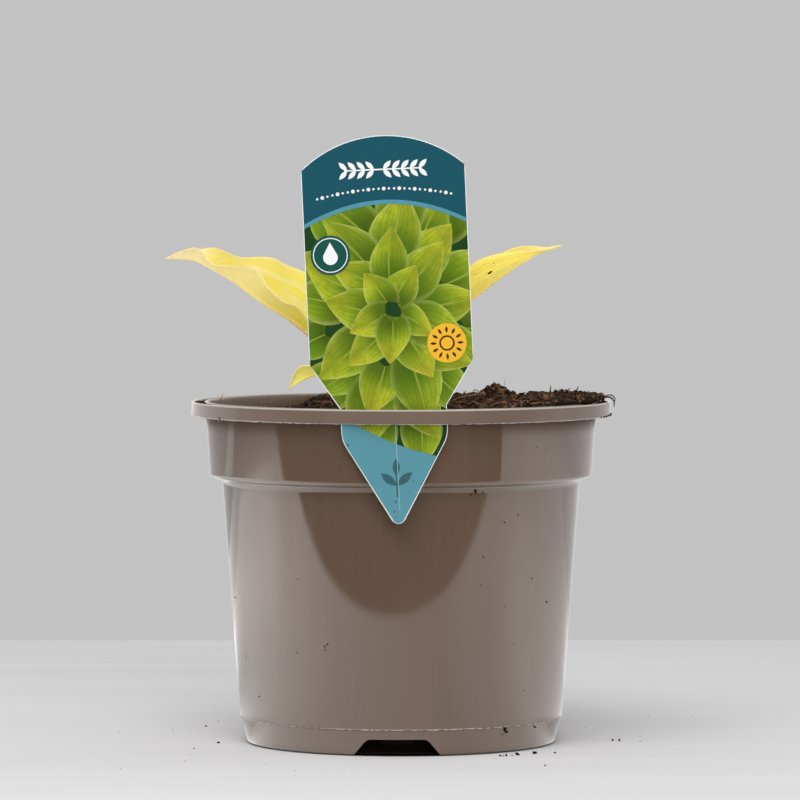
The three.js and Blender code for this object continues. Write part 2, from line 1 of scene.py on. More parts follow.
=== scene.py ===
"""Potted hosta with its picture label: the finished look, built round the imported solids.

Sizes are in millimetres, Z up, with the pot's axis on the origin and the label on the -Y side.
Meshes are written in metres.
"""
import logging
import math
from dataclasses import dataclass, field
from enum import Enum
from typing import Callable, Sequence

import bmesh
import bpy
import numpy as np
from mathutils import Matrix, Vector, noise


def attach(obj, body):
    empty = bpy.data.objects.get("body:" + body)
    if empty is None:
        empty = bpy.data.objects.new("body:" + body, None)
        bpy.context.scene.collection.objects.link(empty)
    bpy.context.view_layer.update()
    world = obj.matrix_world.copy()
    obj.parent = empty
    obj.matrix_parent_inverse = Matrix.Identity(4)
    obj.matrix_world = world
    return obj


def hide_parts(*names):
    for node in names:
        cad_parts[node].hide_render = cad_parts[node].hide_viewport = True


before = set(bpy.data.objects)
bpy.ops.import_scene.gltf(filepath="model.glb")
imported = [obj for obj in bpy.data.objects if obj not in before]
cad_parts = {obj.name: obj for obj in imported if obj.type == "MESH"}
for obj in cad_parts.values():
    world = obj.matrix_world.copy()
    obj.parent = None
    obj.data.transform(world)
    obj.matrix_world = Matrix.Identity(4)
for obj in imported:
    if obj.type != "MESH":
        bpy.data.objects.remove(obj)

LOG = logging.getLogger("hosta")
MM = 0.001
TURN = math.tau
ROOT = "root"

Array = np.ndarray
Material = bpy.types.Material
Object = bpy.types.Object
Colour = tuple[float, float, float]
Place = tuple[float, float, float]
Flat = tuple[float, float]
Windows = Sequence[Sequence[Flat]]
Polygons = list[list[Array]]


class Slot(Enum):
    """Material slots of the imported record."""

    POT = "pot"
    COMPOST = "compost"
    CROWN = "crown"
    LEAF_LEFT = "leaf_left"
    LEAF_RIGHT = "leaf_right"
    LEAF_LOW = "leaf_low"
    LABEL = "label"


# ---- Shader building ------------------------------------------------------------------------


class Value:
    """A shader number, colour or vector that Python's operators can work on."""

    def __init__(self, shader: "Shader", socket: bpy.types.NodeSocket | None) -> None:
        """Wraps one output socket of a shader's node, or none for a node that ends it."""
        self.shader = shader
        self.socket = socket

    def _work(self, operation: str, first: "Value | float", second: "Value | float") -> "Value":
        """Adds the Math node, or for colours and vectors the Vector Math node, of an operator.

        Args:
            operation: Name of the operation, which both kinds of node share.
            first: Left-hand value.
            second: Right-hand value.

        Returns:
            The node's result.
        """
        values = [v for v in (first, second) if isinstance(v, Value)]
        plain = all(v.socket.type == "VALUE" for v in values)
        if plain:
            return self.shader.node("ShaderNodeMath", {"operation": operation}, {0: first, 1: second})
        spread = [v if isinstance(v, Value) else (v, v, v) for v in (first, second)]
        return self.shader.node(
            "ShaderNodeVectorMath", {"operation": operation}, {0: spread[0], 1: spread[1]}
        )

    def __add__(self, other: "Value | float") -> "Value":
        """Sum."""
        return self._work("ADD", self, other)

    def __radd__(self, other: float) -> "Value":
        """Sum with a plain number on the left."""
        return self._work("ADD", other, self)

    def __sub__(self, other: "Value | float") -> "Value":
        """Difference."""
        return self._work("SUBTRACT", self, other)

    def __rsub__(self, other: float) -> "Value":
        """Difference with a plain number on the left."""
        return self._work("SUBTRACT", other, self)

    def __mul__(self, other: "Value | float") -> "Value":
        """Product."""
        return self._work("MULTIPLY", self, other)

    def __rmul__(self, other: float) -> "Value":
        """Product with a plain number on the left."""
        return self._work("MULTIPLY", other, self)

    def __truediv__(self, other: "Value | float") -> "Value":
        """Quotient."""
        return self._work("DIVIDE", self, other)

    def __rtruediv__(self, other: float) -> "Value":
        """Quotient with a plain number on the left."""
        return self._work("DIVIDE", other, self)

    def one(self, operation: str, second: float = 0.0) -> "Value":
        """Any other Math operation on this value."""
        return self._work(operation, self, second)

    def step(self, low: float, high: float) -> "Value":
        """Soft step from 0 at one value to 1 at another.

        Args:
            low: Where it is 0.
            high: Where it is 1.

        Returns:
            The step.
        """
        return self.shader.node(
            "ShaderNodeMapRange", {"interpolation_type": "SMOOTHSTEP"},
            {"Value": self, "From Min": low, "From Max": high},
        )


class Shader:
    """One material's node tree, with the one method that adds nodes to it."""

    def __init__(self, name: str) -> None:
        """Starts an empty material."""
        self.material = bpy.data.materials.new(name)
        self.material.use_nodes = True
        self.tree = self.material.node_tree
        self.tree.nodes.clear()

    def node(
        self,
        kind: str,
        settings: dict[str, object] | None = None,
        sockets: dict[str | int, object] | None = None,
        output: int = 0,
    ) -> Value:
        """Adds a node.

        Args:
            kind: Blender's type name of the node.
            settings: Properties, set first. "stops" holds a ramp's places and colours.
            sockets: Inputs by name or number, each a number, a tuple or a Value.
            output: Number of the output that is wanted.

        Returns:
            The wanted output.
        """
        made = self.tree.nodes.new(kind)
        for name, value in (settings or {}).items():
            if name == "stops":
                ramp = made.color_ramp.elements
                ends = (ramp[0], ramp[-1])
                for element, (place, colour) in zip(ends, (value[0], value[-1])):
                    element.position, element.color = place, (*colour, 1.0)
                for place, colour in value[1:-1]:
                    ramp.new(place).color = (*colour, 1.0)
            else:
                setattr(made, name, value)
        for key, value in (sockets or {}).items():
            socket = made.inputs[key]
            if isinstance(value, Value):
                self.tree.links.new(value.socket, socket)
            elif isinstance(value, tuple) and socket.type == "RGBA":
                socket.default_value = (*value[:3], 1.0)
            else:
                socket.default_value = value
        return Value(self, made.outputs[output] if made.outputs else None)

    def place(self) -> Value:
        """Position on the object, in metres."""
        return self.node("ShaderNodeTexCoord", output=3)

    def stretched(self, vector: Value, scale: Place) -> Value:
        """Vector with each axis scaled on its own."""
        return self.node("ShaderNodeVectorMath", {"operation": "MULTIPLY"}, {0: vector, 1: scale})

    def axis(self, vector: Value, number: int) -> Value:
        """One axis of a vector."""
        return self.node("ShaderNodeSeparateXYZ", None, {0: vector}, number)

    def joined(self, x: "Value | float", y: "Value | float", z: "Value | float") -> Value:
        """Vector from three numbers."""
        return self.node("ShaderNodeCombineXYZ", None, {0: x, 1: y, 2: z})

    def mark(self, name: str, output: int = 2) -> Value:
        """A mesh's named value: output 0 for a colour, 1 for a vector, 2 for a number."""
        return self.node("ShaderNodeAttribute", {"attribute_name": name}, None, output)

    def cloud(
        self, vector: Value, scale: float, detail: float = 3.0, roughness: float = 0.55
    ) -> Value:
        """Soft noise from 0 to 1.

        Args:
            vector: Place that it is read at.
            scale: How fine it is.
            detail: Number of finer layers.
            roughness: Weight of the finer layers.

        Returns:
            The noise.
        """
        return self.node(
            "ShaderNodeTexNoise", None,
            {"Vector": vector, "Scale": scale, "Detail": detail, "Roughness": roughness},
        )

    def cells(self, vector: Value, scale: float) -> Value:
        """Distance to the nearest of many scattered points."""
        return self.node("ShaderNodeTexVoronoi", None, {"Vector": vector, "Scale": scale})

    def mix(
        self, factor: "Value | float", first: "Value | Colour", second: "Value | Colour"
    ) -> Value:
        """Blend of two colours."""
        return self.node(
            "ShaderNodeMix", {"data_type": "RGBA"}, {0: factor, 6: first, 7: second}, output=2)

    def ramp(self, factor: Value, stops: Sequence[tuple[float, Colour]]) -> Value:
        """Colour that runs through stops as a value goes from 0 to 1."""
        return self.node("ShaderNodeValToRGB", {"stops": stops}, {0: factor})

    def bump(self, height: Value, distance_mm: float) -> Value:
        """Normal of a surface raised by a height from 0 to 1."""
        sockets = {"Height": height, "Distance": distance_mm * MM, "Strength": 1.0}
        return self.node("ShaderNodeBump", None, sockets)

    def principled(self, **sockets: object) -> Value:
        """Principled surface; underscores stand for the spaces in its inputs' names."""
        named = {name.replace("_", " "): value for name, value in sockets.items()}
        return self.node("ShaderNodeBsdfPrincipled", None, named)

    def surface(self, **sockets: object) -> Material:
        """Ends the material in a Principled surface."""
        return self.ended(self.principled(**sockets))

    def ended(self, body: Value) -> Material:
        """Ends the material in a surface."""
        self.node("ShaderNodeOutputMaterial", None, {"Surface": body})
        return self.material


# ---- Finishes -------------------------------------------------------------------------------


@dataclass(frozen=True)
class MouldedPlastic:
    """Glossy recycled polypropylene with flow streaks and a dusty film. Painted light: a highlight on
    the lip's top edge, a paler foot, shade on and under the lip, a contact shadow at the foot, and
    near-black shade in the foot vents.
    """

    name: str = "moulded_plastic"
    colour: Colour = (0.122, 0.078, 0.054)
    dust_and_sheen: Colour = (0.22, 0.16, 0.125)
    stain_and_shade: Colour = (0.012, 0.008, 0.006)
    rim_highlight_colour: Colour = (0.52, 0.45, 0.39)
    film: Colour = (0.26, 0.175, 0.118)
    roughness: float = 0.05

    def material(self) -> Material:
        """Builds the material.

        Returns:
            The material.
        """
        s = Shader(self.name)
        place = s.place()
        x, y, z = (s.axis(place, i) for i in range(3))
        reach = (x * x + y * y).one("SQRT")
        streak = s.cloud(s.stretched(place, (1.0, 1.0, 0.035)), 420.0, 4.0)
        broad = s.cloud(s.stretched(place, (1.0, 1.0, 0.3)), 26.0, 2.0)
        grain = s.cloud(place, 1500.0, 3.0, 0.7)
        colour = s.mix(broad.step(0.3, 0.75), self.colour, tuple(c * 1.1 for c in self.colour))
        colour = s.mix(streak.step(0.5, 0.85) * 0.12, colour, self.dust_and_sheen)
        motes = 1 - s.cells(place, 620.0).step(0.10, 0.2)
        sparse = s.cloud(place, 90.0, 2.0).step(0.55, 0.7)
        colour = s.mix(motes * sparse * 0.5, colour, self.dust_and_sheen)
        wall = 0.0864 + (z - 0.121) * 0.0561 - reach
        inside = wall.step(0.0006, 0.0009) * z.step(0.12, 0.123)
        smear = s.cloud(s.stretched(place, (1.0, 1.0, 0.5)), 160.0, 5.0, 0.65)
        dirt = inside * smear.step(0.55, 0.8) * 0.12
        # painted shade: between 54 and 68 mm from the axis and up to 9 mm high, round the foot vents,
        # the plastic gets a near-black matt surface
        behind = (1 - reach.step(0.0672, 0.0684)) * reach.step(0.0543, 0.055)
        hollow = behind * z.step(0.0001, 0.0004) * (1 - z.step(0.0079, 0.0088))
        shadowed = z.step(0.1400, 0.1478) * (1 - z.step(0.1480, 0.1483)) * (1 - inside) * 0.85
        colour = s.mix(inside * 0.62, colour, self.film)
        colour = s.mix(dirt, colour, self.stain_and_shade)
        # painted highlight: the rounding of the lip's top edge is mixed towards a pale colour
        painted_rim_highlight = z.step(0.1536, 0.1541) * reach.step(0.0931, 0.0936)
        colour = s.mix(painted_rim_highlight * 0.8, colour, self.rim_highlight_colour)
        # painted shade: in the middle of the front, the lip's face is made half matt, which dims its
        # reflection
        lip_face_shade = z.step(0.1483, 0.1487) * (1 - z.step(0.1536, 0.154)) * reach.step(0.0938, 0.0942)
        shadowed = shadowed + lip_face_shade * (1 - x.one("ABSOLUTE").step(0.04, 0.08)) * 0.5
        # painted sheen: the foot below the mould line is paler, mixed a fifth of the way to a pale
        # colour
        low = (1 - z.step(0.0112, 0.0124)) * z.step(0.0, 0.004)
        colour = s.mix(low * 0.2, colour, self.dust_and_sheen)
        # painted contact shadow: the lowest millimetre of the foot is darkened nearly to black
        colour = s.mix((1 - z.step(0.0004, 0.0013)) * 0.8, colour, self.stain_and_shade)
        rough = self.roughness + streak.step(0.45, 0.9) * 0.05 + inside * 0.22 + hollow * 0.6
        height = streak * 0.5 + grain * 0.25 + broad * 0.6
        wall_side = s.principled(
            Base_Color=colour, Roughness=rough, Normal=s.bump(height, 0.012), Specular_IOR_Level=0.96,
        )
        matt = s.principled(Base_Color=colour, Roughness=0.9, Specular_IOR_Level=0.0)
        shade = s.principled(Base_Color=self.stain_and_shade, Roughness=0.9, Specular_IOR_Level=0.0)
        outer = s.node("ShaderNodeMixShader", None, {0: shadowed, 1: wall_side, 2: matt})
        return s.ended(s.node("ShaderNodeMixShader", None, {0: hollow, 1: outer, 2: shade}))


@dataclass(frozen=True)
class TornEdge:
    """Pale stress-whitened plastic of a mould's ragged parting line."""

    name: str = "torn_edge"
    colour: Colour = (0.62, 0.56, 0.5)

    def material(self) -> Material:
        """Builds the material.

        Returns:
            The material.
        """
        s = Shader(self.name)
        place = s.place()
        torn = s.cloud(place, 900.0, 3.0)
        colour = s.mix(torn.step(0.35, 0.6), tuple(c * 0.55 for c in self.colour), self.colour)
        return s.surface(Base_Color=colour, Roughness=0.35 + torn * 0.2)


@dataclass(frozen=True)
class Peat:
    """Damp peat compost, near black in its hollows, where the bed's tone mark paints shade, and
    orange-brown on its fibres.
    """

    name: str
    dark: Colour
    mid: Colour
    light: Colour
    bump_mm: float = 0.5

    def material(self) -> Material:
        """Builds the material.

        Returns:
            The material.
        """
        s = Shader(self.name)
        place = s.place()
        coarse = s.cloud(place, 210.0, 5.0, 0.7)
        fine = s.cloud(place, 1300.0, 4.0, 0.7)
        strands = s.cloud(s.stretched(place, (1.0, 0.22, 1.0)), 1500.0, 2.0)
        tone = s.mark("tone")
        blend = coarse * 0.45 + fine * 0.35 + tone * 0.6 - 0.255
        colour = s.ramp(blend, ((0.2, self.dark), (0.5, self.mid), (0.82, self.light)))
        colour = s.mix(strands.step(0.62, 0.74) * 0.6, colour, self.light)
        height = coarse * 0.8 + fine * 0.35
        return s.surface(
            Base_Color=colour, Roughness=0.72 + fine * 0.28, Normal=s.bump(height, self.bump_mm),
            Specular_IOR_Level=0.08,
        )


@dataclass(frozen=True)
class LeafBlade:
    """Soft yellow leaf with parallel veins, paler below and at its margins.

    Its emission is painted light in the leaf's own colour, which stands in for the light that comes
    through so thin a leaf from behind.
    """

    name: str
    upper: Colour
    under: Colour
    shade: Colour
    painted_glow: float
    margin: Colour = (1.0, 0.86, 0.44)
    tip: Colour = (1.0, 0.86, 0.44)
    fold_light: Colour = (0.66, 0.56, 0.17)
    veins: float = 8.0

    def material(self) -> Material:
        """Builds the material.

        Returns:
            The material.
        """
        s = Shader(self.name)
        blade = s.mark("blade", 1)
        along, across, side = (s.axis(blade, i) for i in range(3))
        wide = across.one("ABSOLUTE")
        place = s.place()
        mottle = s.cloud(place, 95.0, 4.0, 0.6)
        fleck = s.cloud(place, 900.0, 2.0)
        wave = (wide * (math.pi * self.veins)).one("SINE").one("ABSOLUTE")
        room = s.mark("room")
        vein = (1 - wave.step(0.0, 0.42)) * room.step(0.1, 0.45) * wide.step(0.02, 0.08)
        cross_veins = s.cloud(s.joined(along * 60.0, wide * 9.0, 0.0), 3.2, 3.0).step(0.5, 0.7)
        colour = s.mix(side.step(-0.2, 0.2), self.under, self.upper)
        colour = s.mix(s.mark("shade"), colour, self.shade)
        colour = s.mix(mottle.step(0.35, 0.8) * 0.2, colour, tuple(c * 0.9 for c in self.upper))
        colour = s.mix(vein * 0.22, colour, self.margin)
        colour = s.mix(cross_veins * room.step(0.2, 0.6) * 0.1, colour, self.margin)
        colour = s.mix(wide.step(0.88, 1.0) * 0.5, colour, self.margin)
        colour = s.mix(along.step(0.68, 0.84) * 0.8, colour, self.tip)
        # painted light along the folds: paler bands from the blade's band mark
        colour = s.mix(s.mark("band"), colour, self.fold_light)
        keel = 1 - wide.step(0.0, 0.07)
        colour = s.mix(keel * 0.35, colour, self.margin)
        height = (vein * -0.7 * side + mottle * 0.5 + cross_veins * 0.12) * room.step(0.15, 0.9)
        # painted glow: the blade also emits light in its own colour
        return s.surface(
            Base_Color=colour, Roughness=0.42 + mottle * 0.16 + fleck * 0.04,
            Normal=s.bump(height, 0.25), Specular_IOR_Level=0.35, Subsurface_Weight=0.3,
            Subsurface_Radius=(1.0, 0.9, 0.4), Subsurface_Scale=0.001, Emission_Color=colour,
            Emission_Strength=self.painted_glow,
        )


@dataclass(frozen=True)
class Stalk:
    """Leaf stalk that runs from red-flecked pink at its foot to pale yellow."""

    name: str
    foot: Colour = (0.45, 0.10, 0.075)
    body: Colour = (0.72, 0.58, 0.25)
    head: Colour = (1.0, 0.80, 0.31)
    painted_glow: float = 0.14

    def material(self) -> Material:
        """Builds the material.

        Returns:
            The material.
        """
        s = Shader(self.name)
        share = s.mark("tone")
        place = s.place()
        fleck = s.cloud(s.stretched(place, (1.0, 1.0, 0.35)), 1100.0, 3.0)
        ring = s.cloud(s.stretched(place, (1.0, 1.0, 0.06)), 900.0, 2.0)
        colour = s.ramp(share, ((0.0, self.foot), (0.34, self.body), (0.6, self.head)))
        colour = s.mix(fleck.step(0.5, 0.62) * (1 - share.step(0.25, 0.75)) * 0.7, colour, self.foot)
        # painted glow: the stalk also emits light in its own colour
        return s.surface(
            Base_Color=colour, Roughness=0.4 + fleck * 0.1,
            Normal=s.bump(ring * 0.7 + fleck * 0.2, 0.25), Specular_IOR_Level=0.4,
            Subsurface_Weight=0.2, Subsurface_Radius=(1.0, 0.6, 0.3), Subsurface_Scale=0.002,
            Emission_Color=colour, Emission_Strength=self.painted_glow,
        )


@dataclass(frozen=True)
class PrintedCard:
    """White polypropylene card that shows at the cut edges of the print."""

    name: str = "printed_card"
    colour: Colour = (0.78, 0.79, 0.80)

    def material(self) -> Material:
        """Builds the material.

        Returns:
            The material.
        """
        s = Shader(self.name)
        grain = s.cloud(s.place(), 700.0, 3.0)
        colour = s.mix(grain.step(0.3, 0.8) * 0.4, self.colour, tuple(c * 0.93 for c in self.colour))
        return s.surface(Base_Color=colour, Roughness=0.38 + grain * 0.1, Normal=s.bump(grain, 0.02))


@dataclass(frozen=True)
class Ink:
    """Printed ink whose colour each film brings with it, with veins where it draws a leaf."""

    name: str = "label_ink"
    vein: Colour = (0.42, 0.5, 0.06)

    def material(self) -> Material:
        """Builds the material.

        Returns:
            The material.
        """
        s = Shader(self.name)
        draw = s.mark("draw", 1)
        along, across, leafy = (s.axis(draw, i) for i in range(3))
        wide = across.one("ABSOLUTE")
        place = s.place()
        ribs = ((wide - (along * 0.35)) * (math.pi * 9.0)).one("SINE").step(0.4, 1.0)
        keel = 1 - wide.step(0.0, 0.07)
        shade = s.cloud(place, 150.0, 4.0, 0.65).step(0.35, 0.68)
        flecks = 1 - s.cells(place, 520.0).step(0.07, 0.14)
        some = s.cloud(place, 60.0, 2.0).step(0.5, 0.62)
        colour = s.mark("ink", 0)
        colour = s.mix(ribs * leafy * 0.3, colour, (0.05, 0.13, 0.004))
        colour = s.mix(shade * leafy * 0.45, colour, (0.07, 0.17, 0.006))
        colour = s.mix(keel * leafy * 0.45, colour, self.vein)
        colour = s.mix(flecks * some * leafy * 0.75, colour, (0.05, 0.03, 0.008))
        return s.surface(
            Base_Color=colour, Roughness=0.5 + shade * 0.06, Normal=s.bump(shade, 0.004),
            Specular_IOR_Level=0.06,
        )


@dataclass(frozen=True)
class PalePaint:
    """Plain pale floor, with painted shade under the pot."""

    name: str = "pale_floor"
    colour: Colour = (0.80, 0.795, 0.805)

    def material(self) -> Material:
        """Builds the material.

        Returns:
            The material.
        """
        s = Shader(self.name)
        place = s.place()
        drift = s.cloud(s.stretched(place, (0.12, 1.0, 1.0)), 24.0, 5.0)
        colour = s.mix(drift.step(0.3, 0.75), tuple(c * 0.955 for c in self.colour), self.colour)
        x, y = s.axis(place, 0), s.axis(place, 1)
        # painted shade: the floor under the pot, seen through the foot vents, is near black
        under = 1 - (x * x + y * y).one("SQRT").step(0.065, 0.0708)
        colour = s.mix(under, colour, (0.006, 0.005, 0.004))
        return s.surface(Base_Color=colour, Roughness=0.7, Specular_IOR_Level=0.0)


@dataclass(frozen=True)
class Glow:
    """Even light of a studio card."""

    name: str
    colour: Colour

    def material(self) -> Material:
        """Builds the material."""
        s = Shader(self.name)
        return s.ended(s.node("ShaderNodeEmission", None, {"Color": self.colour, "Strength": 1.0}))


@dataclass(frozen=True)
class FloorSheen:
    """What the glossy pot mirrors: a lit table top that ends before a dark room.

    The table shines more towards the window on the left. Each level is an angle about the pot
    in degrees, 0 towards the label and negative to the left, with the shine there.
    """

    name: str = "floor_sheen"
    front: float = -0.345
    skew: float = -0.09
    dark: float = 0.02
    plain: float = 0.73
    levels: tuple[tuple[float, float], ...] = (
        (-180, 1.1), (-142, 0.9), (-128, 1.22), (-108, 1.82), (-87, 2.1), (-66, 1.75), (-40, 1.25),
        (-17, 0.95), (4, 0.74), (24, 0.7), (42, 0.96), (58, 1.1), (80, 1.55), (105, 1.45),
        (140, 1.1), (180, 1.1),
    )

    def material(self) -> Material:
        """Builds the material.

        Returns:
            The material.
        """
        s = Shader(self.name)
        place = s.place()
        x, y = s.axis(place, 0), s.axis(place, 1)
        turn = s.node("ShaderNodeMath", {"operation": "ARCTAN2"}, {0: x, 1: y * -1.0})
        most = max(level for _, level in self.levels)
        stops = [((angle + 180) / 360, (level / most,) * 3) for angle, level in self.levels]
        lit = s.axis(s.ramp(turn / TURN + 0.5, stops), 0) * most
        away = (x * x + y * y).one("SQRT")
        far = away.step(0.42, 0.85) * 0.4 + away.step(1.0, 1.35) * 0.5
        lit = self.plain + (lit - self.plain) * (1 - far)
        left_far = (1 - turn.step(-1.65, -1.3)) * away.step(0.2, 0.6) * (1 - away.step(0.92, 1.02))
        lit = lit + left_far * 0.6
        left = 1 - turn.step(-1.2, -0.8)
        lit = lit * (1 - left * away.step(0.92, 1.02) * 0.43)
        beside = turn.one("ABSOLUTE")
        corner = beside.step(2.2, 2.9) * (1 - away.step(0.2, 0.35))
        foot = beside.step(1.2, 1.6) * (1 - away.step(0.105, 0.14))
        lit = lit * (1 - corner * 0.3) * (1 - foot * 0.52)
        edge = y - (x * self.skew + self.front) + x.step(0.6, 1.2) * 0.2
        level = self.dark + edge.step(-0.003, 0.003) * (lit - self.dark)
        grey = s.joined(level, level * 0.985, level * 0.975)
        return s.ended(s.node("ShaderNodeEmission", None, {"Color": grey, "Strength": 1.0}))


# ---- Mesh building --------------------------------------------------------------------------


def smooth(low: float, high: float, value: "float | Array") -> "float | Array":
    """Soft step of a number or an array from 0 at low to 1 at high."""
    share = np.clip((np.asarray(value, float) - low) / (high - low), 0.0, 1.0)
    return share * share * (3 - 2 * share)


@dataclass
class Shell:
    """Points in millimetres, blocks of faces, and named values for the points."""

    points: Array
    faces: list[Array]
    marks: dict[str, Array] = field(default_factory=dict)

    @staticmethod
    def joined(shells: Sequence["Shell"]) -> "Shell":
        """Puts several shells with the same marks into one.

        Args:
            shells: The shells.

        Returns:
            One shell.
        """
        points, faces, start = [], [], 0
        for shell in shells:
            points.append(shell.points)
            faces.extend(block + start for block in shell.faces)
            start += len(shell.points)
        names = shells[0].marks
        marks = {name: np.concatenate([s.marks[name] for s in shells]) for name in names}
        return Shell(np.concatenate(points), faces, marks)

    def marked(self, **marks: "float | Sequence[float]") -> "Shell":
        """Gives every point the same value of each mark.

        Args:
            marks: Each mark's value.

        Returns:
            The same shell.
        """
        count = len(self.points)
        for name, value in marks.items():
            row = np.asarray(value, float)
            self.marks[name] = np.tile(row, (count, 1)) if row.ndim else np.full(count, row)
        return self

    def outward(self) -> "Shell":
        """The same closed shell with every face turned to look outward.

        Returns:
            The same shell.
        """
        volume = 0.0
        for block in self.faces:
            corners = self.points[block]
            for k in range(1, block.shape[1] - 1):
                normal = np.cross(corners[:, k], corners[:, k + 1])
                volume += float(np.einsum("ij,ij->", corners[:, 0], normal))
        if volume < 0:
            self.faces = [block[:, ::-1] for block in self.faces]
        return self

    def turned(self, bearing: float) -> "Shell":
        """The same shell, run out along +Y, turned about the pot's axis to a bearing in radians."""
        c, s = math.cos(bearing - math.pi / 2), math.sin(bearing - math.pi / 2)
        return Shell(self.points @ np.array([[c, s, 0], [-s, c, 0], [0, 0, 1]]), self.faces)

    def object(
        self, name: str, material: Material, sharp_deg: float | None = None
    ) -> Object:
        """Makes the Blender object.

        Args:
            name: The piece's name.
            material: Its finish.
            sharp_deg: Angle above which an edge stays sharp, or None for all smooth.

        Returns:
            The object, linked to the scene.
        """
        mesh = bpy.data.meshes.new(name)
        rows = [tuple(face) for block in self.faces for face in block.tolist()]
        mesh.from_pydata((self.points * MM).tolist(), [], rows)
        kinds = {1: ("FLOAT", "value"), 3: ("FLOAT_VECTOR", "vector"), 4: ("FLOAT_COLOR", "color")}
        for mark, values in self.marks.items():
            width = 1 if values.ndim == 1 else values.shape[1]
            kind, key = kinds[width]
            layer = mesh.attributes.new(mark, kind, "POINT")
            layer.data.foreach_set(key, np.ascontiguousarray(values, np.float32).ravel())
        mesh.validate()
        made = bpy.data.objects.new(name, mesh)
        bpy.context.scene.collection.objects.link(made)
        dress(made, material, sharp_deg)
        return made


def dress(
    piece: Object, material: Material, sharp_deg: float | None
) -> None:
    """Gives a piece its finish and smooth shading.

    Args:
        piece: The piece.
        material: Its finish.
        sharp_deg: Angle above which an edge stays sharp, or None for all smooth.
    """
    mesh = piece.data
    mesh.materials.clear()
    mesh.materials.append(material)
    mesh.polygons.foreach_set("use_smooth", [True] * len(mesh.polygons))
    if sharp_deg is not None:
        mesh.set_sharp_from_angle(angle=math.radians(sharp_deg))


def settle(piece: Object, slot: Slot, *nodes: str) -> Object:
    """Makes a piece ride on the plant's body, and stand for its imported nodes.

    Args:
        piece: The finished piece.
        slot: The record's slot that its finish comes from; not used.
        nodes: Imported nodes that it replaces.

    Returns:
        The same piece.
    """
    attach(piece, ROOT)
    if nodes:
        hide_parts(*nodes)
    LOG.info("%s: %d faces", piece.name, len(piece.data.polygons))
    return piece


def stacked(*axes: Array) -> Array:
    """Arrays put together as the columns of one."""
    return np.stack(axes, axis=-1)


def oblong(left: float, right: float, low: float, high: float) -> list[Flat]:
    """Corners of an oblong, anticlockwise."""
    return [(left, low), (right, low), (right, high), (left, high)]


def grid_faces(rows: int, columns: int, wrap: bool) -> Array:
    """Quads of a grid of points.

    Args:
        rows: Rows of points.
        columns: Points in a row.
        wrap: Whether each row runs round on itself.

    Returns:
        Rows of four point numbers.
    """
    i, j = np.meshgrid(np.arange(rows - 1), np.arange(columns - (not wrap)), indexing="ij")
    a = i * columns + j
    b = i * columns + (j + 1) % columns
    return stacked(a, b, b + columns, a + columns).reshape(-1, 4)


def ring_faces(rows: int, columns: int) -> Array:
    """Quads of a grid of points that runs round on itself both ways.

    Args:
        rows: Rows of points.
        columns: Points in a row.

    Returns:
        Rows of four point numbers.
    """
    here = np.arange(columns)
    on, last = (here + 1) % columns, (rows - 1) * columns
    return np.concatenate([grid_faces(rows, columns, True), stacked(here + last, on + last, on, here)])


def fan(centre: int, ring: Array, flip: bool) -> Array:
    """Triangles that close a ring of points round a centre.

    Args:
        centre: Number of the point in the middle.
        ring: Numbers of the points round it.
        flip: Whether the triangles run against the ring.

    Returns:
        Rows of three point numbers.
    """
    following = np.roll(ring, -1)
    middle = np.full_like(ring, centre)
    order = [middle, following, ring] if flip else [middle, ring, following]
    return np.stack(order, axis=-1)


def skin(rings: Array) -> Shell:
    """Closed tube through rings of points, shaped (rings, points, 3), with a fan at each end.

    Args:
        rings: The rings of points.

    Returns:
        The closed solid.
    """
    count, size = rings.shape[:2]
    ends = rings[[0, -1]].mean(axis=1)
    points = np.concatenate([rings.reshape(-1, 3), ends])
    first, last = np.arange(size), np.arange(size) + (count - 1) * size
    faces = [
        grid_faces(count, size, True), fan(count * size, first, True),
        fan(count * size + 1, last, False),
    ]
    return Shell(points, faces).outward()


def bend(start: Flat, corner: Flat, end: Flat, count: int) -> list[Flat]:
    """Curve from one point to another that is drawn towards a corner.

    Args:
        start: Its first point.
        corner: The corner that it rounds.
        end: Its last point.
        count: Number of points.

    Returns:
        The points.
    """
    a, b, c = (np.array(point, float) for point in (start, corner, end))
    return [tuple((1 - t) ** 2 * a + 2 * t * (1 - t) * b + t * t * c) for t in np.linspace(0, 1, count)]


def mirrored(points: Sequence[Flat]) -> list[Flat]:
    """Points on the other side of the middle line, in reverse order."""
    return [(-x, z) for x, z in reversed(points)]


def softened(profile: Sequence[Sequence[float]], steps: int = 4) -> list[Flat]:
    """Rounds the corners of a profile.

    Args:
        profile: Points of radius and height, and a third number where a corner is rounded.
        steps: Pieces in each rounded corner.

    Returns:
        The profile's points.
    """
    made: list[Flat] = []
    for i, row in enumerate(profile):
        here = np.array(row[:2], float)
        if len(row) < 3:
            made.append(tuple(here))
            continue
        back = np.array(profile[i - 1][:2], float) - here
        on = np.array(profile[i + 1][:2], float) - here
        reach = min(row[2], 0.45 * np.linalg.norm(back), 0.45 * np.linalg.norm(on))
        start = here + back / np.linalg.norm(back) * reach
        made += bend(start, here, here + on / np.linalg.norm(on) * reach, steps + 1)
    return held(made)


def held(profile: list[Flat], gap: float = 0.35) -> list[Flat]:
    """Adds points near both ends of a profile's long straight runs, so that they shade flat.

    Args:
        profile: Points of radius and height.
        gap: How far from an end the added point lies.

    Returns:
        The profile with its new points.
    """
    made = [profile[0]]
    for a, b in zip(profile, profile[1:]):
        start, on = np.array(a), np.array(b) - np.array(a)
        length = float(np.linalg.norm(on))
        if length > 6 * gap and a[0] and b[0]:
            pieces = max(1, round(length / 9))
            shares = [gap / length, *(k / pieces for k in range(1, pieces)), 1 - gap / length]
            made += [tuple(start + on * share) for share in shares]
        made.append(b)
    return made


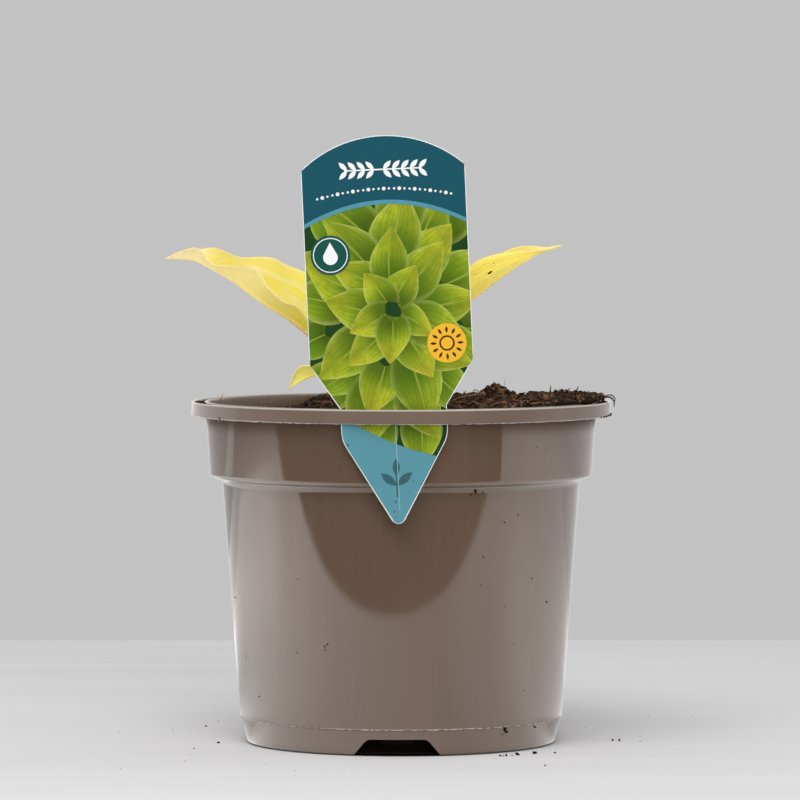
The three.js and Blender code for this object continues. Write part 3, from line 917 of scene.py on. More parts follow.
def revolved(profile: Sequence[Flat], segments: int) -> Shell:
    """Solid turned about the pot's axis.

    Args:
        profile: Points of radius and height, from the axis to the axis.
        segments: Sides round the axis.

    Returns:
        The closed solid.
    """
    angles = np.arange(segments) / segments * TURN
    c, s = np.cos(angles), np.sin(angles)
    return skin(np.array([stacked(r * c, r * s, np.full(segments, z)) for r, z in profile[1:-1]]))


class Track:
    """Smooth centripetal curve through points, read by the share of its points passed."""

    def __init__(self, points: Sequence[Place]) -> None:
        """Keeps the points, with one more beyond each end."""
        p = np.array(points, float)
        self.points = np.concatenate([[2 * p[0] - p[1]], p, [2 * p[-1] - p[-2]]])

    def at(self, share: "float | Array") -> Array:
        """Points at shares from 0 to 1.

        Args:
            share: One share or many.

        Returns:
            Rows of X, Y and Z.
        """
        share = np.atleast_1d(np.asarray(share, float))
        last = len(self.points) - 3
        where = np.clip(share, 0, 1) * last
        i = np.minimum(where.astype(int), last - 1)
        t = (where - i)[:, None]
        p0, p1, p2, p3 = (self.points[i + k] for k in range(4))
        d0, d1, d2 = (
            np.maximum(np.linalg.norm(b - a, axis=1) ** 0.5, 1e-4)[:, None]
            for a, b in ((p0, p1), (p1, p2), (p2, p3))
        )
        m1 = ((p1 - p0) / d0 - (p2 - p0) / (d0 + d1) + (p2 - p1) / d1) * d1
        m2 = ((p2 - p1) / d1 - (p3 - p1) / (d1 + d2) + (p3 - p2) / d2) * d1
        return (
            p1
            + m1 * t
            + (-3 * p1 + 3 * p2 - 2 * m1 - m2) * t**2
            + (2 * p1 - 2 * p2 + m1 + m2) * t**3
        )

    def evenly(self, count: int) -> Array:
        """Points at equal distances along the curve.

        Args:
            count: Number of points.

        Returns:
            Rows of X, Y and Z.
        """
        fine = self.at(np.linspace(0, 1, 600))
        steps = np.linalg.norm(np.diff(fine, axis=0), axis=1)
        length = np.concatenate([[0], np.cumsum(steps)])
        wanted = np.linspace(0, length[-1], count)
        return np.stack([np.interp(wanted, length, fine[:, k]) for k in range(3)], axis=-1)


def tube(
    path: Array,
    radius: "float | Array",
    sides: int,
    shape: Callable[[Array], Array] | None = None,
) -> Shell:
    """Closed tube along a path.

    Args:
        path: Points of its middle line.
        radius: One radius, or one for each point.
        sides: Points round the tube.
        shape: Factor on the radius by the angle from the upper side.

    Returns:
        The tube.
    """
    path = np.asarray(path, float)
    along = np.gradient(path, axis=0)
    along /= np.maximum(np.linalg.norm(along, axis=1, keepdims=True), 1e-9)
    up = np.tile([0.0, 0.0, 1.0], (len(path), 1))
    flat = np.abs(along[:, 2]) > 0.97
    up[flat] = [1.0, 0.0, 0.0]
    side = np.cross(along, up)
    side /= np.linalg.norm(side, axis=1, keepdims=True)
    top = np.cross(side, along)
    angles = np.arange(sides) / sides * TURN
    reach = np.broadcast_to(np.asarray(radius, float), (len(path),))[:, None]
    if shape is not None:
        reach = reach * shape(angles)[None]
    ring = (
        side[:, None] * (np.sin(angles)[None] * reach)[..., None]
        + top[:, None] * (np.cos(angles)[None] * reach)[..., None]
    )
    return skin(path[:, None] + ring)


def cut(target: Object, tool: Shell, operation: str) -> None:
    """Joins a shell to an object, cuts it away or keeps the overlap, and drops the tool.

    Args:
        target: The object that is changed.
        tool: The other solid.
        operation: UNION, DIFFERENCE or INTERSECT.
    """
    helper = tool.object("tool", bpy.data.materials.new("tool"))
    modifier = target.modifiers.new("cut", "BOOLEAN")
    modifier.operation = operation
    modifier.solver = "MANIFOLD"
    modifier.object = helper
    graph = bpy.context.evaluated_depsgraph_get()
    made = bpy.data.meshes.new_from_object(target.evaluated_get(graph))
    target.modifiers.clear()
    target.data = made
    bpy.data.materials.remove(helper.data.materials[0])
    bpy.data.objects.remove(helper)


def around(radius: float, angle: float) -> Flat:
    """Place at a radius and an angle about the pot's axis."""
    return radius * math.cos(angle), radius * math.sin(angle)


def prism(outline: Sequence[Flat], near: float, far: float) -> Shell:
    """Solid with an outline in X and Z, running from one Y to another.

    Args:
        outline: Points of X and Z.
        near: Its lesser Y.
        far: Its greater Y.

    Returns:
        The closed solid.
    """
    flat = np.array(outline, float)
    return skin(np.array([stacked(flat[:, 0], np.full(len(flat), y), flat[:, 1]) for y in (far, near)]))


def rough(point: Sequence[float], scale: float, octaves: int = 3) -> float:
    """Fractal noise at a point in millimetres, about -1 to 1."""
    return noise.fractal(Vector(point) * scale, 1.0, 2.0, octaves)


class Crumbs:
    """Seeded heap of small rough lumps that is joined into one piece."""

    def __init__(self, seed: int) -> None:
        """Prepares the lumps' common forms."""
        self.random = np.random.default_rng(seed)
        self.forms = [self._ball(k) for k in (1, 2)]
        self.shells: list[Shell] = []

    @staticmethod
    def _ball(level: int) -> tuple[Array, Array]:
        """Points and triangles of a ball of radius 1.

        Args:
            level: How often it is divided.

        Returns:
            Its points and its faces.
        """
        made = bmesh.new()
        bmesh.ops.create_icosphere(made, subdivisions=level, radius=1.0)
        points = np.array([v.co[:] for v in made.verts])
        faces = np.array([[v.index for v in f.verts] for f in made.faces])
        made.free()
        return points, faces

    def add(self, place: Sequence[float], size: float, tone: float) -> None:
        """Adds a lump.

        Args:
            place: Its middle, in millimetres.
            size: Its mean radius.
            tone: How light it is, from 0 to 1.
        """
        points, faces = self.forms[1 if size > 1.3 else 0]
        knobs = 1 + 0.32 * self.random.standard_normal(len(points)).clip(-1.6, 1.6)
        stretch = self.random.uniform(0.5, 1.5, 3)
        axes, _ = np.linalg.qr(self.random.standard_normal((3, 3)))
        body = (points * knobs[:, None] * stretch) @ axes * size
        self.shells.append(Shell(body + np.asarray(place), [faces]).marked(tone=tone))

    def fibre(self, path: Array, radius: float, tone: float, sides: int = 4) -> None:
        """Adds a fibre that tapers to both ends along a path."""
        taper = np.sin(np.linspace(0.25, math.pi - 0.15, len(path))) ** 0.5
        self.shells.append(tube(path, radius * taper, sides).marked(tone=tone))

    def object(self, name: str, material: Material) -> Object:
        """Joins the heap into one object."""
        return Shell.joined(self.shells).object(name, material)


# ---- Pot ------------------------------------------------------------------------------------


@dataclass
class Pot:
    """Round nursery pot with a double rim, a collar, a mould line and three foot vents.

    Each speck on its wall is a bearing in degrees, a height and a size.
    """

    height: float = 154.5
    lip_radius: float = 95.0
    lip_depth: float = 6.3
    lip_wall: float = 1.3
    wall: float = 1.4
    flange_top: float = 153.1
    flange_thickness: float = 1.5
    bead_radius: float = 88.0
    collar_top_radius: float = 88.2
    collar_foot_radius: float = 86.4
    collar_foot_z: float = 121.0
    body_top_radius: float = 80.8
    mould_radius: float = 72.9
    mould_z: float = 12.0
    foot_radius: float = 69.6
    floor: float = 2.0
    pad_radius: float = 14.0
    recess_radius: float = 54.0
    recess_depth: float = 0.8
    segments: int = 216
    slot_count: int = 4
    slot_radii: Flat = (88.6, 93.7)
    slot_half_angle: float = 0.31
    vent_bearings: tuple[float, ...] = (-1.596, 0.498, 2.593)
    vent_inner: float = 56.0
    vent_foot_half: float = 19.6
    vent_roof_half: float = 13.4
    vent_height: float = 7.7
    vent_corner: float = 1.8
    vent_hole: Place = (7.0, 2.4, 62.5)
    drain_count: int = 6
    drain_ring: float = 34.0
    drain_radius: float = 3.6
    flash_count: int = 900
    specks: tuple[Place, ...] = (
        (-148, 148.6, 0.55), (-19, 148.2, 0.4), (-16.5, 148.3, 0.55), (-13.5, 148.4, 0.4),
        (-11, 148.5, 0.5), (-8.5, 148.6, 0.45), (-5.5, 148.7, 0.5), (-161.6, 119.6, 0.6),
        (-108, 127.6, 0.22), (-66.2, 117.6, 0.75), (-67.6, 116.4, 0.45), (-63.5, 117.2, 0.35),
        (-65.7, 105.8, 0.3), (-49.5, 106.5, 0.55), (-55.1, 103.5, 0.42), (-62.5, 88.5, 0.42),
        (-53.2, 65.9, 0.35), (-32.4, 66.4, 0.4), (-115.4, 49.8, 0.5), (-116.4, 48.6, 0.62),
        (-116.2, 47.2, 0.34), (-127.8, 45.4, 0.3), (-157.9, 40.8, 0.35), (-165.2, 66.8, 0.4),
        (-149.2, 23.9, 0.36), (-50.6, 10.9, 0.95), (-49.4, 9.4, 0.6), (-34.3, 10.3, 0.5),
        (-42.2, 27.5, 0.42), (-48.5, 48.9, 0.28), (-68.8, 45.2, 0.22), (-41.7, 77.7, 0.32),
        (-63.3, 76.1, 0.26), (-62.6, 123.6, 0.3), (-42.3, 134.8, 0.34), (-46.7, 136.6, 0.28),
        (-51.7, 142.3, 0.26), (-35.7, 120.8, 0.42), (48, 92, 0.5), (75, 61, 0.42), (118, 104, 0.4),
        (139, 33, 0.55), (176, 80, 0.36), (12, 52, 0.45), (24, 118, 0.5), (96, 24, 0.4),
    )

    def body_radius(self, z: float) -> float:
        """Outer radius of the body's wall at a height."""
        share = (z - self.mould_z) / (self.collar_foot_z - 3 - self.mould_z)
        return self.mould_radius + (self.body_top_radius - self.mould_radius) * share

    def outer_radius(self, z: float) -> float:
        """Outer radius of the pot at a height, collar and foot included.

        Args:
            z: Height.

        Returns:
            The radius there.
        """
        if z > self.collar_foot_z:
            share = (z - self.collar_foot_z) / (self.flange_top - self.collar_foot_z)
            return self.collar_foot_radius + (self.collar_top_radius - self.collar_foot_radius) * share
        if z < self.mould_z:
            return self.foot_radius + (self.mould_radius - self.foot_radius) * z / self.mould_z
        return self.body_radius(z)

    def inner_radius(self, z: "float | Array") -> "float | Array":
        """Inner radius of the pot above its collar's step.

        Args:
            z: One height or many.

        Returns:
            The radius there.
        """
        step = self.collar_foot_z + 1.6
        share = np.clip((np.asarray(z, float) - step) / (self.height - 4 - step), 0, 1)
        return self.collar_foot_radius - self.wall + (
            self.collar_top_radius - self.collar_foot_radius) * share

    def profile(self) -> list[Flat]:
        """Section from the middle of the base, up the outside and back down the inside.

        Returns:
            Points of radius and height.
        """
        lip_foot, flange = self.height - self.lip_depth, self.flange_top
        flange_foot = flange - self.flange_thickness
        pad, recess, deep, floor = self.pad_radius, self.recess_radius, self.recess_depth, self.floor
        foot, mould, line = self.foot_radius, self.mould_radius, self.mould_z
        body, step, body_top = self.body_top_radius, self.collar_foot_z, self.collar_foot_z - 3
        collar, top, bead = self.collar_foot_radius, self.collar_top_radius, self.bead_radius
        lip, thin, wall, high = self.lip_radius, self.lip_wall, self.wall, self.height
        return softened([
            [0, 0], [pad, 0], [pad + 1, deep], [recess - 1, deep], [recess, 0],
            [foot - 0.9, 0, 0.6], [foot, 0.9, 0.6],
            [mould - 0.35, line - 0.4], [mould + 0.2, line - 0.1], [mould + 0.2, line + 0.1],
            [mould, line + 0.4], [body, body_top, 1.0], [body + 1.1, step - 1.3, 0.9],
            [collar - 1.2, step - 0.7, 0.5], [collar, step + 0.3, 1.1],
            [top, flange_foot - 1, 0.8], [top + 0.8, flange_foot, 0.4],
            [lip - thin, flange_foot, 0.3], [lip - thin, lip_foot], [lip - 0.3, lip_foot],
            [lip, lip_foot + 0.4], [lip - 0.25, high, 0.75], [lip - thin, high - 0.1, 0.5],
            [lip - thin - 0.4, flange, 0.4], [bead + 0.9, flange, 0.3],
            [bead + 0.7, high, 0.6], [bead - 0.9, high - 0.1, 0.8],
            [top - wall, high - 4, 1.0], [collar - wall, step + 1.6, 0.6],
            [collar - wall - 1, step + 0.7, 0.4], [body - wall + 1, step - 0.3, 0.4],
            [body - wall, body_top, 0.4], [mould - wall, line],
            [foot - wall - 0.5, floor + 2], [foot - wall - 2.5, floor], [0, floor],
        ])

    def vent_outline(self, margin: float, foot_z: float) -> list[Flat]:
        """Section of a foot vent.

        Args:
            margin: How far it is grown outward.
            foot_z: Height of its foot.

        Returns:
            Points across X and up Z.
        """
        roof, top, soft = self.vent_height + margin, self.vent_roof_half + margin, self.vent_corner
        slope = (self.vent_foot_half - self.vent_roof_half) / self.vent_height
        right = [(self.vent_foot_half + margin - slope * foot_z, foot_z)]
        right += bend((top + slope * soft, roof - soft), (top, roof), (top - soft, roof), 6)
        return right + mirrored(right)

    def vent(self, bearing: float, margin: float, foot_z: float, start: float) -> Shell:
        """One foot vent's solid, turned to its bearing."""
        return prism(self.vent_outline(margin, foot_z), start, self.lip_radius).turned(bearing)

    def rim_slot(self, bearing: float) -> Shell:
        """Curved slot through the rim's flange, about a bearing.

        Args:
            bearing: Where its middle lies, in radians.

        Returns:
            The slot as a solid.
        """
        inner, outer = self.slot_radii
        low, high = self.flange_top - self.flange_thickness - 1, self.height - 0.6
        section = ((inner, low), (outer, low), (outer, high), (inner, high))
        angles = np.linspace(-self.slot_half_angle, self.slot_half_angle, 33) + bearing
        return skin(np.array([[(*around(r, a), z) for r, z in section] for a in angles]))

    def tools(self) -> Shell:
        """Everything that is cut through the pot.

        Returns:
            The solids as one shell.
        """
        shells = [self.vent(b, 0, -1, self.vent_inner) for b in self.vent_bearings]
        half, thick, reach = self.vent_hole
        hole = prism(oblong(-half, half, 5.0, 12.0), reach - thick, reach + thick)
        shells += [hole.turned(b) for b in self.vent_bearings]
        shells += [self.rim_slot(i / self.slot_count * TURN) for i in range(self.slot_count)]
        ring = np.array([(*around(self.drain_radius, a), 0.0) for a in np.arange(32) / 32 * TURN])
        drain = skin(np.stack([ring + [0, self.drain_ring, z] for z in (-3.0, 4.0)]))
        shells += [drain.turned(i / self.drain_count * TURN) for i in range(self.drain_count)]
        return Shell.joined(shells)

    def build_body(self) -> Object:
        """Turns the pot, adds its vents' inner walls and cuts its openings.

        Returns:
            The finished body.
        """
        finish = MouldedPlastic().material()
        pot = revolved(self.profile(), self.segments).object("pot_body", finish)
        inset = 0.7
        plug = revolved([
            (0, 0.05), (self.foot_radius - inset, 0.05), (self.mould_radius - inset, self.mould_z),
            (0, self.mould_z),
        ], self.segments).object("vent_walls", finish)
        cut(plug, Shell.joined([
            self.vent(b, self.wall, -0.5, self.vent_inner - self.wall)
            for b in self.vent_bearings
        ]), "INTERSECT")
        walls = np.array([v.co[:] for v in plug.data.vertices]) / MM
        faces = [np.array([p.vertices[:]]) for p in plug.data.polygons]
        bpy.data.objects.remove(plug)
        cut(pot, Shell(walls, faces), "UNION")
        cut(pot, self.tools(), "DIFFERENCE")
        dress(pot, finish, 32)
        return settle(pot, Slot.POT, "pot")

    def build_flash(self) -> None:
        """Adds the thin torn flash of the mould along the foot and under the lip."""
        finish = TornEdge().material()
        angles = np.arange(self.flash_count) / self.flash_count * TURN
        lines = (
            ("pot_foot_flash", self.mould_radius, self.mould_z, 3.0, lambda p: (
                (-0.5, -0.3), (0.42 * p, -0.09 * p), (0.42 * p, 0.12 * p), (-0.5, 0.3))),
            ("pot_lip_flash", self.lip_radius - 0.75, self.height - self.lip_depth, 7.0, lambda p: (
                (-0.26, 0.3), (-0.104, -0.408 * p), (0.104, -0.408 * p), (0.26, 0.3))),
        )
        for name, radius, z, phase, section in lines:
            rings = []
            for a in angles:
                share = min(1.3, max(0.05, 0.5 + 0.5 * rough((*around(60, a), phase), 0.9, 4)))
                rings.append([(*around(radius + r, a), z + h) for r, h in section(share)])
            strip = Shell(np.array(rings).reshape(-1, 3), [ring_faces(len(rings), 4)])
            settle(strip.object(name, finish), Slot.POT)

    def build_specks(self) -> None:
        """Sticks crumbs of compost to the outside of the wall."""
        heap = Crumbs(31)
        for bearing, z, size in self.specks:
            at_lip = z > self.height - self.lip_depth - 1
            radius = self.lip_radius if at_lip else self.outer_radius(z)
            place = (*around(radius, math.radians(bearing)), z)
            heap.add(place, size, heap.random.uniform(0.1, 0.7))
        for _ in range(90):
            a, z = heap.random.uniform(0, TURN), heap.random.uniform(3, 119)
            size = heap.random.uniform(0.08, 0.2)
            place = (*around(self.outer_radius(z), a), z)
            heap.add(place, size, heap.random.uniform(0.1, 0.9))
        settle(heap.object("pot_specks", PEAT_CRUMB.material()), Slot.COMPOST)

    def build(self) -> None:
        """Builds the pot and what clings to it."""
        self.build_body()
        self.build_flash()
        self.build_specks()


# ---- Compost --------------------------------------------------------------------------------

PEAT_BED = Peat("peat_bed", (0.004, 0.003, 0.002), (0.028, 0.014, 0.008), (0.12, 0.06, 0.03))
PEAT_CRUMB = Peat("peat_crumb", (0.004, 0.003, 0.002), (0.036, 0.018, 0.010),
                  (0.21, 0.105, 0.052), 0.25)
PEAT_FIBRE = Peat("peat_fibre", (0.020, 0.010, 0.006), (0.15, 0.065, 0.028), (0.42, 0.22, 0.09), 0.08)


def lcg(seed: int) -> Callable[[], float]:
    """Seeded source of numbers from 0 to 1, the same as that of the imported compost.

    Args:
        seed: Where it starts.

    Returns:
        A function that draws the next number.
    """
    state = [seed]

    def draw() -> float:
        """Next number."""
        state[0] = (state[0] * 1664525 + 1013904223) & 0xFFFFFFFF
        return state[0] / 4294967296

    return draw


@dataclass
class Compost:
    """Peat compost, low at the left and heaped over the rim at the right.

    Each strand is a radius, a tone and the points of its curve.
    """

    pot: Pot
    low_level: float = 148.0
    high_level: float = 153.8
    bank_x: float = -40.0
    bank_half_width: float = 5.0
    hollow: tuple[float, float, float, float, float] = (-66.0, 14.0, 4.0, 28.0, 0.6)
    lump_count: int = 110
    lump_height: float = 1.5
    lump_spread: Flat = (3.2, 7.0)
    heaps: tuple[tuple[float, float, float, float], ...] = (
        (-31, 2, 1.8, 8), (43, 8, 6.4, 7.5), (74, 24, 3.0, 15), (62, -20, 2.4, 20), (10, 55, 1.2, 18),
    )
    spill_bearing: float = 0.08
    spill_half_angle: float = 0.62
    spill_reach: float = 5.4
    rings: int = 104
    sectors: int = 330
    gap: float = 0.3
    crown: Place = (-4.0, 1.0, 17.3)
    strands: tuple[tuple, ...] = (
        (0.36, 0.15, (77, -6, 155.5), (79, -7, 158.8), (80, -8, 161.2)),
        (0.34, 0.1, (72.5, -6, 155.5), (74.5, -7, 158.6), (76.4, -8, 160.5)),
        (0.1, 0.7, (45, -12, 156), (46.4, -14, 161), (47, -14, 165.5)),
        (0.3, 0.2, (67.4, 0, 156), (67.6, 0, 159.5), (67.7, 0, 161.4)),
        (0.22, 0.95, (22, -30, 155.6), (28, -30, 157.6), (35, -30, 158.6)),
        (0.36, 0.1, (90, -6, 155.8), (94.2, -9, 156.4), (96.0, -10, 154.6), (96.0, -10, 152)),
        (0.28, 0.15, (91, 2, 156), (95, 1, 157), (96.8, 0, 155.4), (96.2, -1, 152.8)),
        (0.2, 1.0, (-83, -12, 151.6), (-81.5, -14, 155), (-80, -15, 158.4)),
        (0.26, 0.95, (-36, -60, 153), (-34, -63, 156.4), (-31, -64, 156.8), (-30, -66, 153.4)),
    )

    def __post_init__(self) -> None:
        """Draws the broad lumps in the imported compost's order."""
        draw = lcg(411)
        least, most = self.lump_spread
        rows = []
        for _ in range(self.lump_count):
            reach = math.sqrt(draw()) * self.pot.collar_top_radius
            angle = draw() * TURN
            height = (draw() * 2 - 0.9) * self.lump_height
            rows.append((reach * math.cos(angle), reach * math.sin(angle), height,
                         least + (most - least) * draw()))
        self.mounds = np.array([*self.heaps, *rows], float)

    def height(self, x: Array, y: Array) -> Array:
        """Broad height of the surface at places in the pot.

        Args:
            x: Places along X.
            y: Places along Y.

        Returns:
            The heights there.
        """
        x, y = np.asarray(x, float), np.asarray(y, float)
        bank = self.bank_x + 4 * np.sin(y / 13)
        rise = smooth(-self.bank_half_width, self.bank_half_width, x - bank)
        hx, hy, depth, spread, stretch = self.hollow
        away = np.hypot(x - hx, (y - hy) * stretch) / spread
        z = self.low_level + (self.high_level - self.low_level) * rise
        z = z - depth * (1 - smooth(0.66, 1.02, away))
        for mx, my, tall, wide in self.mounds:
            z = z + tall * np.exp(-((x - mx) ** 2 + (y - my) ** 2) / wide**2)
        return z

    def crumble(self, x: float, y: float) -> float:
        """Fine relief added to the broad height.

        Args:
            x: Place along X.
            y: Place along Y.

        Returns:
            How far it rises or sinks.
        """
        lump = rough((x, y, 0.0), 0.21, 4)
        grit = rough((x, y, 40.0), 0.75, 3)
        return 1.5 * lump + 0.55 * abs(grit) - 0.35

    def off_spill(self, angle: Array) -> Array:
        """Angle between bearings and the middle of the spilled compost."""
        turn = np.asarray(angle, float) - self.spill_bearing
        return np.abs(np.arctan2(np.sin(turn), np.cos(turn)))

    def spill(self, angle: Array) -> Array:
        """How far the compost lies out over the rim at bearings.

        Args:
            angle: Angles about the pot's axis.

        Returns:
            How far it reaches there.
        """
        ripple = 0.82 + 0.18 * np.sin(np.asarray(angle) * 13)
        share = self.off_spill(angle) / self.spill_half_angle
        return self.spill_reach * ripple * (1 - smooth(0.55, 1, share))

    def surface(self) -> Shell:
        """Closed bed: the rough top, the edge over the rim, and a smooth root ball below.

        Returns:
            The closed bed.
        """
        pot = self.pot
        angles = np.arange(self.sectors) / self.sectors * TURN
        c, s = np.cos(angles), np.sin(angles)
        seat_r = pot.collar_foot_radius
        wall_z = self.height(seat_r * c, seat_r * s)
        fit = pot.inner_radius(wall_z) - self.gap - 0.1
        edge = fit + self.spill(angles)
        over = self.off_spill(angles) < self.spill_half_angle + TURN / 54
        rows, heights = [], []
        fine = np.zeros((self.rings, self.sectors))
        for i in range(1, self.rings + 1):
            share = i / self.rings
            radius = edge * share**0.85
            x, y = radius * c, radius * s
            z = self.height(x, y)
            add = np.array([self.crumble(a, b) for a, b in zip(x, y)])
            add *= 1 - 0.75 * smooth(0.97, 1.0, share)
            add = np.where(over, add, np.minimum(add, 1.2))
            fine[i - 1] = add
            crumb = smooth(0.9, 1.0, share)
            edge_z = np.where(over, pot.height + 1.8, z)
            rows.append(radius)
            heights.append(z + (edge_z - z) * crumb + add)
        below = np.where(over, pot.height + 0.35, wall_z - 1.6)
        rows.append(edge - 0.1)
        heights.append(below)
        rows.append(pot.inner_radius(below) - self.gap - 0.2)
        heights.append(below - 0.1)
        step = pot.collar_foot_z
        for radius, z in (
            (float(pot.inner_radius(step + 19)) - 0.4, step + 19),
            (float(pot.inner_radius(step + 1.7)) - 0.4, step + 1.8),
            (pot.body_top_radius - pot.wall + 0.6, step + 0.2),
            (pot.body_radius(step - 3) - pot.wall - 0.4, step - 3),
            (pot.body_radius(pot.mould_z) - pot.wall - 0.4, pot.mould_z + 1),
            (pot.foot_radius - pot.wall - 3.2, pot.mould_z - 1.0),
        ):
            rows.append(np.full(self.sectors, radius))
            heights.append(np.full(self.sectors, z))
        radii, z = np.array(rows), np.array(heights)
        grid = stacked(radii * c, radii * s, z)
        made = skin(grid)
        tone = np.full(len(made.points), 0.25)
        # painted shade: the bed's tone follows its fine relief, darker in the hollows and lighter on
        # the rises
        tone[: fine.size] = np.clip(0.35 + 0.35 * fine.ravel(), 0, 1)
        made.marks["tone"] = tone
        made.points[-2, 2] = float(self.height(0, 0))
        return made

    def build_bed(self) -> None:
        """Builds the bed."""
        settle(self.surface().object("compost_bed", PEAT_BED.material()), Slot.COMPOST, "compost")

    def top(self, x: float, y: float) -> float:
        """Height of the rough surface at a place."""
        return float(self.height(x, y)) + self.crumble(x, y)

    def scatter(self, heap: Crumbs, count: int, sizes: Flat) -> None:
        """Scatters crumbs over the bed, larger towards the heaped side.

        Args:
            heap: The heap that takes them.
            count: How many are drawn.
            sizes: Least and greatest size.
        """
        limit = self.pot.collar_top_radius - self.pot.wall - 0.8
        for _ in range(count):
            reach = math.sqrt(heap.random.random()) * limit
            x, y = around(reach, heap.random.uniform(0, TURN))
            if math.hypot(x - self.crown[0], y - self.crown[1]) < self.crown[2] - 3:
                continue
            size = sizes[0] + (sizes[1] - sizes[0]) * heap.random.random() ** 2.6
            size *= 0.8 + 0.35 * float(smooth(-40, 50, x))
            rise = heap.random.uniform(-0.1, 0.6) * size
            rise -= 1.5 * float(smooth(limit - 1.6, limit - 0.2, reach))
            heap.add((x, y, self.top(x, y) + rise), size, heap.random.uniform(0, 1))

    def build_crumbs(self) -> None:
        """Builds the crumbs on the bed, on the spill and in the groove of the rim."""
        heap = Crumbs(77)
        draw = heap.random
        self.scatter(heap, 5200, (0.28, 1.15))
        self.scatter(heap, 50, (1.0, 1.5))
        hx, hy, _, spread = self.heaps[1]
        for _ in range(260):
            x, y = draw.normal((hx, hy), spread * 0.5)
            size = draw.uniform(0.35, 1.25)
            heap.add((x, y, self.top(x, y) + 0.2 * size), size, draw.uniform(0.1, 1))
        for _ in range(900):
            angle = self.spill_bearing + draw.normal(0, 0.27)
            over = float(self.spill(angle))
            radius = float(self.pot.inner_radius(self.pot.height)) + over * draw.uniform(-0.9, 1.03)
            size = draw.uniform(0.25, 0.95)
            x, y = around(radius, angle)
            z = self.pot.height + 0.6 + draw.uniform(0, 1.9)
            lie = min(1.0, 2.2 * over / self.spill_reach)
            z = z * lie + (self.top(x, y) - 0.3) * (1 - lie)
            heap.add((x, y, z), size, draw.uniform(0, 1))
        for _ in range(150):
            angle, radius = draw.uniform(0, TURN), draw.uniform(89.6, 92.6)
            size = draw.uniform(0.15, 0.6)
            place = (*around(radius, angle), self.pot.flange_top + size * 0.6)
            heap.add(place, size, draw.uniform(0, 0.8))
        settle(heap.object("compost_crumbs", PEAT_CRUMB.material()), Slot.COMPOST)

    def build_fibres(self) -> None:
        """Builds the coarse root and peat fibres that lie in the bed and stand out of it."""
        heap = Crumbs(19)
        draw = heap.random
        limit = self.pot.collar_top_radius - 3
        for _ in range(620):
            reach = math.sqrt(draw.random()) * limit
            x, y = around(reach, draw.uniform(0, TURN))
            if x < -30 and draw.random() < 0.5:
                continue
            heading, length = draw.uniform(0, TURN), draw.uniform(3, 11)
            bend_by = draw.uniform(-1.3, 1.3)
            rise = draw.uniform(-0.5, 1.2) if draw.random() < 0.88 else draw.uniform(1.2, 2.8)
            path = []
            for t in np.linspace(0, 1, 9):
                dx, dy = around(length * t, heading + bend_by * t)
                px, py = x + dx, y + dy
                if math.hypot(px, py) > limit + 1:
                    break
                path.append((px, py, self.top(px, py) + 0.35 + rise * math.sin(math.pi * t * 0.8)))
            if len(path) > 4:
                heap.fibre(np.array(path), draw.uniform(0.09, 0.26), draw.uniform(0, 1))
        settle(heap.object("compost_fibres", PEAT_FIBRE.material()), Slot.COMPOST)

    def build_strands(self) -> None:
        """Adds the single strands that stand out against the rim and the backdrop."""
        heap = Crumbs(23)
        for radius, tone, *points in self.strands:
            heap.fibre(Track(points).evenly(14), radius, tone, 6)
        settle(heap.object("compost_strands", PEAT_FIBRE.material()), Slot.COMPOST)

    def build(self) -> None:
        """Builds the compost."""
        self.build_bed()
        self.build_crumbs()
        self.build_fibres()
        self.build_strands()


# ---- Leaves ---------------------------------------------------------------------------------

Station = tuple[Place, Place, Place]


